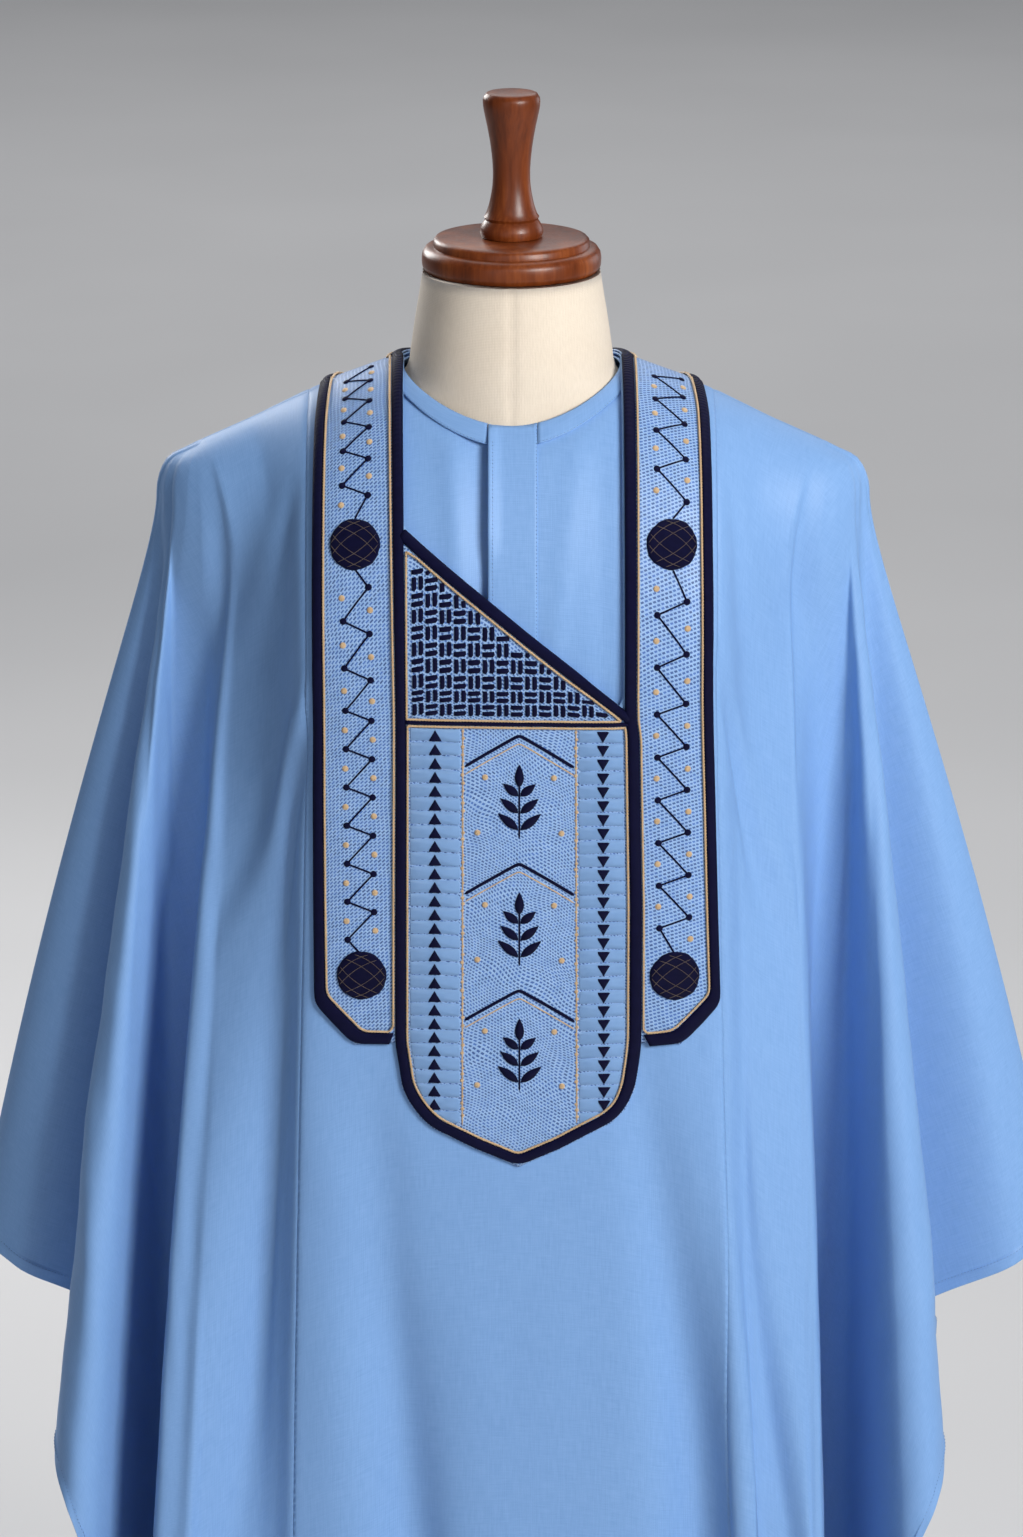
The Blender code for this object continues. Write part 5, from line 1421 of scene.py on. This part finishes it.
# ---------------------------------------------------------------- bib: triangle of basket-weave blocks
def basket_blocks():
    """Pairs of bars, upright and level by turns, inside the triangle."""
    cell, wide, pair, gap = 0.0093, 0.0031, 0.0046, 0.0005
    diagonal_across, diagonal_down = np.array(diagonal_line).T
    parts = []
    for i in range(18):
        for j in range(14):
            x0 = left_side + 0.0030 + i * cell
            y0 = float(bar(x0 + cell / 2, -BESIDE_BAR)[1]) - 0.0022 - (j + 1) * cell
            for k in (0, 1):
                shift = 0.0008 + k * pair
                if (i + j) % 2 == 0:
                    left, right, top, foot = x0 + shift, x0 + shift + wide, y0 + gap, y0 + cell - gap
                else:
                    left, right, top, foot = x0 + gap, x0 + cell - gap, y0 + shift, y0 + shift + wide
                edge = np.interp(right, diagonal_across, diagonal_down) + 0.0062
                if foot < edge + 0.0014 or right > 0.0725:
                    continue
                top = max(top, edge)
                corners = [(left, top), (right, top), (right, foot), (left, foot)]
                parts.append(pad_mesh(corners, MOTIF - 0.0002, 0.0010, 0.0004, 0.0028))
    embroider("basket_blocks", parts, "navy_thread")


basket_blocks()

# ---------------------------------------------------------------- bib: pocket
COLUMN_LEFT = -0.0318  # where the middle column begins
COLUMN_RIGHT = 0.0422
BAR_PITCH = 0.0096
POCKET_TOP = bar_line[0][1] + BESIDE_BAR + 0.0014

# Rows across the pocket are level as the robe hangs, so in the cut they sag a little towards the middle.
ROW_ACROSS = np.linspace(-0.0727, 0.0790, 13)
ROW_DOWN = np.linspace(0.2800, 0.6200, 9)
ROW_SAG = np.array([[y - d for x, y in straight((-0.0727, d), (0.0790, d), FRONT, 12)] for d in ROW_DOWN])


def level_row(points):
    """Points given by their row's distance down at the pocket's sides, as points of the cut."""
    points = np.array(points, float)
    row, column = (
        np.clip((values - lines[0]) / (lines[1] - lines[0]), 0, len(lines) - 1.001)
        for values, lines in ((points[:, 1], ROW_DOWN), (points[:, 0], ROW_ACROSS))
    )
    r, c = row.astype(int), column.astype(int)
    a, b = row - r, column - c
    upper = ROW_SAG[r, c] * (1 - b) + ROW_SAG[r, c + 1] * b
    lower = ROW_SAG[r + 1, c] * (1 - b) + ROW_SAG[r + 1, c + 1] * b
    points[:, 1] += upper * (1 - a) + lower * a
    return points


def pocket_side(down, side, margin):
    """How far across the pocket reaches at a distance down, on one side."""
    line = inner_side[(inner_side[:, 1] > 0.284) & (side * (inner_side[:, 0] - 0.004) > 0)]
    order = np.argsort(line[:, 1])
    return float(np.interp(down, line[order, 1], line[order, 0])) - side * margin


def pocket_bottom(across):
    """How far down the pocket reaches at a distance across."""
    line = inner_side[inner_side[:, 1] > 0.50]
    order = np.argsort(line[:, 0])
    return float(np.interp(across, line[order, 0], line[order, 1]))


def satin_bars():
    """Level bars of satin stitch in the outer columns, one above another."""
    parts = []
    for k in range(int((0.590 - POCKET_TOP) / BAR_PITCH)):
        low = POCKET_TOP + k * BAR_PITCH + 0.0003
        high = low + BAR_PITCH - 0.0006
        for side in (-1, 1):
            inner = COLUMN_LEFT - 0.0014 if side < 0 else COLUMN_RIGHT + 0.0014
            outer_low, outer_high = (pocket_side(down, side, 0.0016) for down in (low, high))
            if side * (outer_high - inner) < 0.003:
                if side * (outer_low - inner) < 0.006:
                    continue
                outer_high = inner + side * 0.003
            lean = 0.0004 * math.sin(k * 2.1 + side)
            corners = [(outer_low, low + lean), (inner, low - lean)]
            corners += [(inner, high - lean), (outer_high, high + lean)]
            parts.append(pad_mesh(level_row(corners), FILL + 0.0004, 0.0007, 0.0009, 0.0030))
    embroider("satin_bars", parts, "satin_blue")


def triangle_rows():
    """A row of small navy triangles down each outer column, pointing up at one side and down at the other."""
    parts = []
    half, tall = 0.0047, 0.0081
    for side, across in ((-1, -0.0500), (1, 0.0600)):
        for k in range(int((0.560 - POCKET_TOP) / BAR_PITCH) + 1):
            low = POCKET_TOP + k * BAR_PITCH + 0.0009
            tip, foot = (low, low + tall) if side < 0 else (low + tall, low)
            corners = [(across, tip), (across + half, foot), (across - half, foot)]
            parts.append(pad_mesh(level_row(corners), FILL + 0.0009, 0.0009, 0.0006, 0.0024))
    embroider("triangle_rows", parts, "navy_thread")


def beaded_lines():
    """Gold lines beside the middle column: a fine thread, with a knot every few millimetres."""
    parts = []
    for across in (COLUMN_LEFT, COLUMN_RIGHT):
        end = pocket_bottom(across) - 0.002
        start = float(bar(across, BESIDE_BAR)[1])
        parts.append(thread_mesh([(across, start), (across, end)], MOTIF - 0.0001, 0.0010, 0.0009, 0.003))
        at = start + 0.003
        k = 0
        while at < end - 0.002:
            size = 0.00105 + 0.0004 * math.sin(k * 2.4) ** 2
            parts.append(knot_mesh(across + 0.0003 * math.sin(k * 1.9), at, MOTIF - 0.0004, size, 0.0011, 7))
            at += 0.0050 + 0.0009 * math.sin(k * 1.3)
            k += 1
    embroider("beaded_lines", parts, "gold_thread")


def leaf(across, down, angle, length, width, rise=0.0012):
    """A pointed satin leaf from its foot, angle 0 straight up."""
    t = np.linspace(0, 1, 8)
    half = width / 2 * np.sin(math.pi * t**0.8)
    x = np.concatenate([half, -half[-2:0:-1]])
    y = -length * np.concatenate([t, t[-2:0:-1]])
    c, s = math.cos(angle), math.sin(angle)
    corners = np.stack([across + x * c - y * s, down + x * s + y * c], axis=1)
    return pad_mesh(corners, MOTIF - 0.0005, rise, 0.0005, 0.0016)


def sprig(dark, gold, across, foot, size=0.0490, pairs=3):
    """A stem with paired leaves and a bud, and gold knots beside it."""
    dark.append(thread_mesh([(across, foot), (across, foot - size * 0.86)], MOTIF, 0.0012, 0.0011))
    dark.append(leaf(across, foot - size * 0.72, 0.0, size * 0.34, size * 0.13, 0.0013))
    for side in (-1, 1):
        for k in range(pairs):
            at = foot - size * (0.12 + 0.24 * k)
            dark.append(leaf(across + side * 0.0006, at, side * 0.85, size * (0.38 - 0.05 * k), size * 0.125))
        for out, up in ((0.46, 0.88), (0.56, 0.10)):
            knot = knot_mesh(across + side * size * out, foot - size * up, MOTIF - 0.0004, 0.0022, 0.0015, 8)
            gold.append(knot)


def middle_column():
    """Three fields under navy chevrons, each with a leaf sprig: a plain repeat."""
    dark, gold = [], []
    middle = (COLUMN_LEFT + COLUMN_RIGHT) / 2
    low, high = COLUMN_LEFT + 0.0014, COLUMN_RIGHT - 0.0014
    for k in range(3):
        top = POCKET_TOP + 0.0260 + 0.0890 * k
        threads = ((dark, 0.0, (MOTIF, 0.0022, 0.0016)), (gold, 0.0055, (MOTIF - 0.0001, 0.0009, 0.0008)))
        for parts, lower, sizes in threads:
            chevron = level_row([(low, top + lower), (middle, top + lower - 0.0220), (high, top + lower)])
            parts.append(thread_mesh(round_corners(chevron, 0.002), *sizes))
        sprig(dark, gold, middle, top + 0.0580)
    embroider("leaf_sprigs", dark, "navy_thread")
    embroider("gold_sprig_knots", gold, "gold_thread")


satin_bars()
triangle_rows()
beaded_lines()
middle_column()


# ---------------------------------------------------------------- front sewn in behind the opening
PLACKET_SIDES = (-0.0155, 0.0170)
NECK_HALF_WIDTH = 0.0742
NECK_HALF_DEPTH = 0.0705
NECK_BAND = 0.0105


def slope_at(across):
    """Down to which the opening reaches."""
    rate = (OPENING_LOW[1] - OPENING_HIGH[1]) / (OPENING_LOW[0] - OPENING_HIGH[0])
    return OPENING_HIGH[1] + (across - OPENING_HIGH[0]) * rate


def inset_piece(name, outline, height, stands_for, folds):
    """A piece of the inset front, with its own soft folds."""
    half_width, half_depth = NECK_HALF_WIDTH + NECK_BAND, NECK_HALF_DEPTH + NECK_BAND

    def reshape(points, flat):
        from_axis = np.hypot(points[:, 0] / half_width, (points[:, 1] - NECK_CENTRE) / half_depth)
        below_band = (from_axis - 1) * half_depth
        points[:, 1] -= folds(flat[:, 0], flat[:, 1])
        if height < PLACKET:
            points[:, 1] -= 0.0008 * smooth((below_band - 0.0003) / STEP)

    steps = (0.0032, 0.0040)
    made, size, area = panel_sheet(name, outline, steps, FRONT, height, "robe", SHELL, (stands_for,), reshape)
    SHEETS.append(Sheet(made, size, area, []))


def left_folds(u, v):
    """Beside the placket the cloth dips in a long soft fold."""
    dip = 0.0014 * smooth((0.120 - v) / 0.030)
    dip = dip - 0.0052 * smooth((u + 0.040) / 0.024) * smooth((v - 0.092) / 0.040)
    return dip + 0.0016 * bell((u + 0.042 - 0.10 * (v - 0.11)) / 0.009) * smooth((v - 0.08) / 0.05)


def right_folds(u, v):
    """A soft ridge and a crease beside it."""
    ridge = 0.0012 * bell((u - 0.046 + 0.12 * (v - 0.10)) / 0.008) * smooth((v - 0.08) / 0.06)
    return ridge - 0.0010 * bell((u - 0.060) / 0.008) * smooth((v - 0.09) / 0.05)


def placket_folds(u, v):
    """The placket's free edge stands a little off, between the neckline and the bib."""
    beside_edge = smooth((-0.0070 - u) / 0.0085)
    return 0.0034 * beside_edge * smooth((v - 0.078) / 0.040) * smooth((slope_at(u) - 0.006 - v) / 0.030)


def inset_outline(near, neck):
    """One half of the inset front, from near the centre line out to one side, and down to be tucked in."""
    out = math.copysign(0.0850, near)
    top = [(near, neck[0][1]), *neck[1:], (out, neck[-1][1])]
    return top + [(out, slope_at(out) + 0.016), (near, slope_at(near) + 0.016)]


neck = neck_curve(FRONT, NECK_HALF_WIDTH + 0.003, NECK_HALF_DEPTH + 0.003, NECK_CENTRE, 48)
right_neck = [p for p in neck if 0 <= round(p[0], 6) < 0.0735]
left_neck = [p for p in neck[::-1] if -0.0735 < p[0] <= 0.000001]
inset_piece("robe_inset_left", inset_outline(-0.0026, left_neck), INSET, "inset_left", left_folds)
inset_piece("robe_inset_right", inset_outline(0.0026, right_neck), INSET_FLUSH, "inset_right", right_folds)
left_edge, right_edge = PLACKET_SIDES
top = neck_curve(FRONT, NECK_HALF_WIDTH, NECK_HALF_DEPTH, NECK_CENTRE, 96)
top = [(x, y) for x, y in top if left_edge < x < right_edge]
outline = [(left_edge, top[0][1] - 0.0004)] + top + [(right_edge, top[-1][1] - 0.0004)]
outline += [(right_edge, slope_at(right_edge) + 0.012), (left_edge, slope_at(left_edge) + 0.012)]
inset_piece("robe_placket", outline, PLACKET, "placket", placket_folds)
placket = SHEETS[-1]


def placket_stitches():
    """A row of stitches down each side of the placket."""
    rows = []
    starts = ((right_edge - 0.0006, top[-1][1] + 0.0016), (left_edge + 0.0030, top[0][1] + 0.0130))
    for across, first in starts:
        down = np.linspace(first, slope_at(across) + 0.006, 80)
        u = np.full(len(down), across)
        line = on_robe(u, down, FRONT, PLACKET + SHELL / 2)
        line[:, 1] -= placket_folds(u, down)
        rows.append((line, panel_normals(u, down, FRONT)))
    return sewing("stitches_placket", rows)


def neck_ring():
    """The inset's narrow neck band, round the back of the neck."""
    shares = [0.0, 0.06, 0.14, 0.30, 0.5, 0.7, 0.86, 0.94, 1.0]
    swell = [-0.0003, 0.0001, 0.0003, 0.0004, 0.0004, 0.0003, 0.0001, 0.0000, -0.0001]
    lines, flats = [], []
    for wide, out in zip(np.array(shares) * NECK_BAND, swell):
        first = math.asin((right_edge + 0.0002) / (NECK_HALF_WIDTH + wide))
        last = math.tau - math.asin((0.0002 - left_edge) / (NECK_HALF_WIDTH + wide))
        turn = np.linspace(first, last, 181)
        x = (NECK_HALF_WIDTH + wide) * np.sin(turn)
        y = NECK_CENTRE - (NECK_HALF_DEPTH + wide) * np.cos(turn)
        line = np.zeros((len(turn), 3))
        for face, at in ((FRONT, y < 0), (BACK, y >= 0)):
            line[at] = on_robe(x[at], length_at_depth(x[at], np.abs(y[at]), face), face, PLACKET + out)
        lines.append(line)
        flats.append(np.stack([turn * (NECK_HALF_WIDTH + wide), np.full(len(turn), wide)], axis=1))
    verts, flat = (np.stack(rows, axis=1) for rows in (lines, flats))
    faces = grid_faces(len(turn), len(shares))
    cut = flat.reshape(-1, 2)
    made = add_mesh("robe_neck_band", verts.reshape(-1, 3), faces, "robe", cut, SHELL, ("inset_neck_band",))
    length = float((turn[-1] - turn[0]) * (NECK_HALF_WIDTH + NECK_HALF_DEPTH + NECK_BAND) / 2)
    edge = lines[-2]
    normals = unit(np.cross(np.gradient(edge, axis=0), lines[0] - edge))
    normals *= np.sign(normals[:, 2:3])
    sewn = sewing("stitches_neck_band", [(edge + normals * SHELL / 2, normals)])
    SHEETS.append(Sheet(made, (length, NECK_BAND), length * NECK_BAND, [sewn]))


neck_ring()
placket.with_pieces.append(placket_stitches())

# ---------------------------------------------------------------- dress form and stand
# power 2 is an oval; below 2 the section narrows towards the shoulders.
Section = namedtuple("Section", "height half_width front back power")
FORM = [
    Section(0.7400, 0.1500, 0.1000, 0.1000, 2.20),
    Section(0.7450, 0.1560, 0.1060, 0.1060, 2.20),
    Section(0.8500, 0.1680, 0.1120, 0.1130, 2.20),
    Section(0.9500, 0.1650, 0.1100, 0.1080, 2.20),
    Section(1.0500, 0.1580, 0.1060, 0.0980, 2.20),
    Section(1.2500, 0.1690, 0.1150, 0.1000, 2.20),
    Section(1.3200, 0.1780, 0.1170, 0.1000, 2.10),
    Section(1.3700, 0.1830, 0.1090, 0.0940, 2.00),
    Section(1.4000, 0.1850, 0.0980, 0.0880, 1.90),
    Section(1.4200, 0.1820, 0.0880, 0.0830, 1.80),
    Section(1.4350, 0.1720, 0.0800, 0.0790, 1.65),
    Section(1.4450, 0.1600, 0.0740, 0.0760, 1.55),
    Section(1.4550, 0.1380, 0.0690, 0.0735, 1.50),
    Section(1.4640, 0.1160, 0.0658, 0.0705, 1.50),
    Section(1.4730, 0.0960, 0.0640, 0.0680, 1.60),
    Section(1.4820, 0.0810, 0.0634, 0.0662, 1.80),
    Section(1.4920, 0.0710, 0.0632, 0.0648, 2.00),
    Section(1.5050, 0.0684, 0.0630, 0.0636, 2.00),
    Section(1.5250, 0.0655, 0.0620, 0.0620, 2.00),
    Section(1.5450, 0.0622, 0.0606, 0.0604, 2.00),
    Section(1.5590, 0.0600, 0.0598, 0.0595, 2.00),
]
# Turned profiles as (radius, height), from the top down.
CAP = [
    (0.0, 1.5812), (0.0480, 1.5812), (0.0510, 1.5806), (0.0524, 1.5790), (0.0528, 1.5752), (0.0545, 1.5750),
    (0.0580, 1.5738), (0.0598, 1.5710), (0.0604, 1.5665), (0.0600, 1.5620), (0.0585, 1.5595), (0.0, 1.5595),
]
HANDLE = [
    (0.0, 1.6795), (0.0130, 1.6792), (0.0172, 1.6782), (0.0189, 1.6755), (0.0192, 1.6715),
    (0.0184, 1.6660), (0.0163, 1.6560), (0.0143, 1.6450), (0.0129, 1.6330), (0.0125, 1.6230),
    (0.0131, 1.6140), (0.0150, 1.6040), (0.0172, 1.5972), (0.0186, 1.5950), (0.0178, 1.5930),
    (0.0190, 1.5915), (0.0209, 1.5880), (0.0212, 1.5840), (0.0203, 1.5816), (0.0, 1.5816),
]
BASE = [
    (0.0, 0.0320), (0.0300, 0.0320), (0.0340, 0.0290), (0.0700, 0.0240), (0.1500, 0.0180), (0.1670, 0.0140),
    (0.1700, 0.0100), (0.1700, 0.0020), (0.1680, 0.0), (0.0, 0.0),
]
SHARP = 0.004  # a profile's steps shorter than this stay straight
EASE = 3  # points for each step of a profile that is eased


def hermite(start, end, leave, arrive, t):
    """A smooth curve from start to end with its slopes there."""
    start_share, leave_share = 2 * t**3 - 3 * t**2 + 1, t**3 - 2 * t**2 + t
    return start_share * start + leave_share * leave + (1 - start_share) * end + (t**3 - t**2) * arrive


def smooth_rows(rows, spacing):
    """The form's sections with even ones between, on smooth curves."""
    values = np.array(rows, float)
    heights = values[:, 0]
    out = []
    for k in range(len(rows) - 1):
        run = heights[k + 1] - heights[k]
        count = max(1, int(math.ceil(run / spacing)))
        before, after = max(k - 1, 0), min(k + 2, len(rows) - 1)
        leave = run * (values[k + 1] - values[before]) / (heights[k + 1] - heights[before])
        arrive = run * (values[after] - values[k]) / (heights[after] - heights[k])
        for t in np.arange(count) / count:
            row = hermite(values[k], values[k + 1], leave, arrive, t)
            row[0] = heights[k] + run * t
            out.append(row)
    return out + [values[-1]]


def turned_mesh(columns, first_end, last_end):
    """A closed piece from columns of points round its axis, and the middles of its two ends."""
    count, rows = columns.shape[:2]
    faces = grid_faces(count, rows, closed=True)
    for c in range(0, count * rows, rows):
        after = (c + rows) % (count * rows)
        faces += [(c, after, count * rows), (c + rows - 1, count * rows + 1, after + rows - 1)]
    return np.vstack([columns.reshape(-1, 3), [first_end], [last_end]]), faces


def form_torso(count=128):
    """The padded form in linen, with a sewn seam down the front and back and at each side."""
    turn = math.tau * np.arange(count) / count
    c, s = np.cos(turn), np.sin(turn)
    rings = []
    for height, half_width, front_depth, back_depth, power in smooth_rows(FORM, 0.009):
        x = half_width * np.sign(c) * np.abs(c) ** (2 / power)
        y = np.where(s < 0, front_depth, back_depth) * np.sign(s) * np.abs(s) ** (2 / power)
        groove = bell(x / 0.0022) + bell(y / 0.0022) * (np.abs(x) > 0.02)
        shrink = 1 - 0.0010 * groove / np.maximum(np.hypot(x, y), 0.02)
        rings.append(np.stack([x * shrink, NECK_CENTRE + y * shrink, np.full(count, height)], axis=1))
    ends = ((0, NECK_CENTRE, row.height) for row in (FORM[0], FORM[-1]))
    verts, faces = turned_mesh(np.stack(rings, axis=1), *ends)
    # the flat ends are turned against the sides, which shades the rim under the cap
    faces = [face if len(face) == 4 else face[::-1] for face in faces]
    add_mesh("dress_form", verts, faces, "linen", stands_for=("form_torso",))


def eased_profile(profile):
    """A turned profile with its longer steps bent to a smooth curve."""
    line = [np.array(p, float) for p in profile]
    eased = line[:1]
    for k in range(1, len(line) - 2):
        here, after = line[k], line[k + 1]
        size = math.dist(here, after)
        eased.append(here)
        if size < SHARP:
            continue
        leave, arrive = (after - line[k - 1]) / 2, (line[k + 2] - here) / 2
        leave, arrive = (v * min(1, size / max(np.linalg.norm(v), 1e-9)) for v in (leave, arrive))
        eased += [hermite(here, after, leave, arrive, j / EASE) for j in range(1, EASE)]
    return eased + line[-2:]


def lathe(name, profile, material, stands_for, sides):
    """A turned piece, its profile eased between the solid's points."""
    ring = np.array([p for p in eased_profile(profile) if p[0] > 1e-6])
    turn = math.tau * np.arange(sides) / sides
    columns = np.stack([np.outer(np.cos(turn), ring[:, 0]), np.outer(np.sin(turn), ring[:, 0])], axis=-1)
    columns = np.concatenate([columns, np.tile(ring[:, 1:], (sides, 1, 1))], axis=-1)
    verts, faces = turned_mesh(columns, (0, 0, profile[0][1]), (0, 0, profile[-1][1]))
    made = add_mesh(name, verts, faces, material, stands_for=(stands_for,))
    made.data.set_sharp_from_angle(angle=math.radians(50))


POLE_RADIUS = 0.0150
POLE_TOP, POLE_FOOT = FORM[0].height - SEAM_GAP, BASE[0][1] + SEAM_GAP
POLE = [(0.0, POLE_TOP), (POLE_RADIUS, POLE_TOP), (POLE_RADIUS, POLE_FOOT), (0.0, POLE_FOOT)]
form_torso()
lathe("form_cap", CAP, "wood", "neck_cap", 96)
lathe("form_handle", HANDLE, "wood", "cap_handle", 72)
lathe("form_base", BASE, "wood", "stand_base", 120)
lathe("form_pole", POLE, "paint", "stand_pole", 48)

# ---------------------------------------------------------------- what each sheet of cloth is
for face, (made, area, stitches) in ((FRONT, front), (BACK, back)):
    flat = (2 * HALF_PANEL, float(full_length(0.0, face)))
    SHEETS.append(Sheet(made, flat, area, [stitches] + SEWN_ON[face]))
for made, flat, area, extra in SHEETS:
    area = min(area, flat[0] * flat[1])


# ---------------------------------------------------------------- floor, light and camera
def studio():
    """A wide pale floor, soft light from the front right and behind, and the photo's camera."""
    scene = bpy.context.scene
    floor_mesh = bpy.data.meshes.new("floor")
    floor_mesh.from_pydata([(-30, -40, 0), (30, -40, 0), (30, 40, 0), (-30, 40, 0)], [], [(0, 1, 2, 3)])
    floor_mesh.materials.append(floor_material())
    floor = bpy.data.objects.new("floor", floor_mesh)
    scene.collection.objects.link(floor)

    world = bpy.data.worlds.new("studio")
    world.use_nodes = True
    background = world.node_tree.nodes["Background"]
    background.inputs["Color"].default_value = (0.88, 0.92, 1.0, 1.0)
    background.inputs["Strength"].default_value = 0.115
    scene.world = world
    scene.view_settings.view_transform = "Standard"

    # name, place, aim, size, power, colour
    lights = (
        ("key", (1.85, -2.28, 2.72), (0.0, 0.0, 1.2), 1.25, 109.0, (1.0, 0.985, 0.96)),
        ("fill", (-1.2, -3.5, 1.8), (0.0, 0.0, 1.1), 1.6, 5.5, (0.90, 0.94, 1.0)),
        ("back", (-1.9, 2.9, 2.6), (0.0, 0.0, 1.1), 1.5, 75.0, (1.0, 0.99, 0.97)),
        ("back_fill", (2.6, 2.4, 1.8), (0.0, 0.0, 0.9), 1.5, 12.0, (0.90, 0.94, 1.0)),
        ("top", (0.0, 0.9, 3.60), (0.0, 0.0, 1.20), 1.6, 13.0, (1.0, 1.0, 1.0)),
        ("floor_light", (0.0, 7.0, 5.0), (0.0, 7.0, 0.0), 7.0, 230.0, (1.0, 1.0, 1.0)),
        ("front_floor_light", (0.0, -9.5, 5.5), (0.0, -10.5, 0.0), 8.0, 230.0, (1.0, 1.0, 1.0)),
    )
    for name, place, aim, size, power, colour in lights:
        data = bpy.data.lights.new(name, "AREA")
        data.size, data.energy, data.color = size, power, colour
        light = bpy.data.objects.new(name, data)
        light.location = place
        light.rotation_euler = (Vector(aim) - Vector(place)).to_track_quat("-Z", "Y").to_euler()
        scene.collection.objects.link(light)

    camera_data = bpy.data.cameras.new("camera")
    camera_data.sensor_width = 36.0
    camera_data.sensor_fit = "AUTO"
    camera_data.lens = 5296 / 1537 * 36.0
    camera = bpy.data.objects.new("camera", camera_data)
    camera.location = (0.0, -3.5, 2.31)
    camera.rotation_euler = (math.radians(90 - 17.5), 0.0, 0.0)
    scene.collection.objects.link(camera)
    scene.camera = camera


studio()
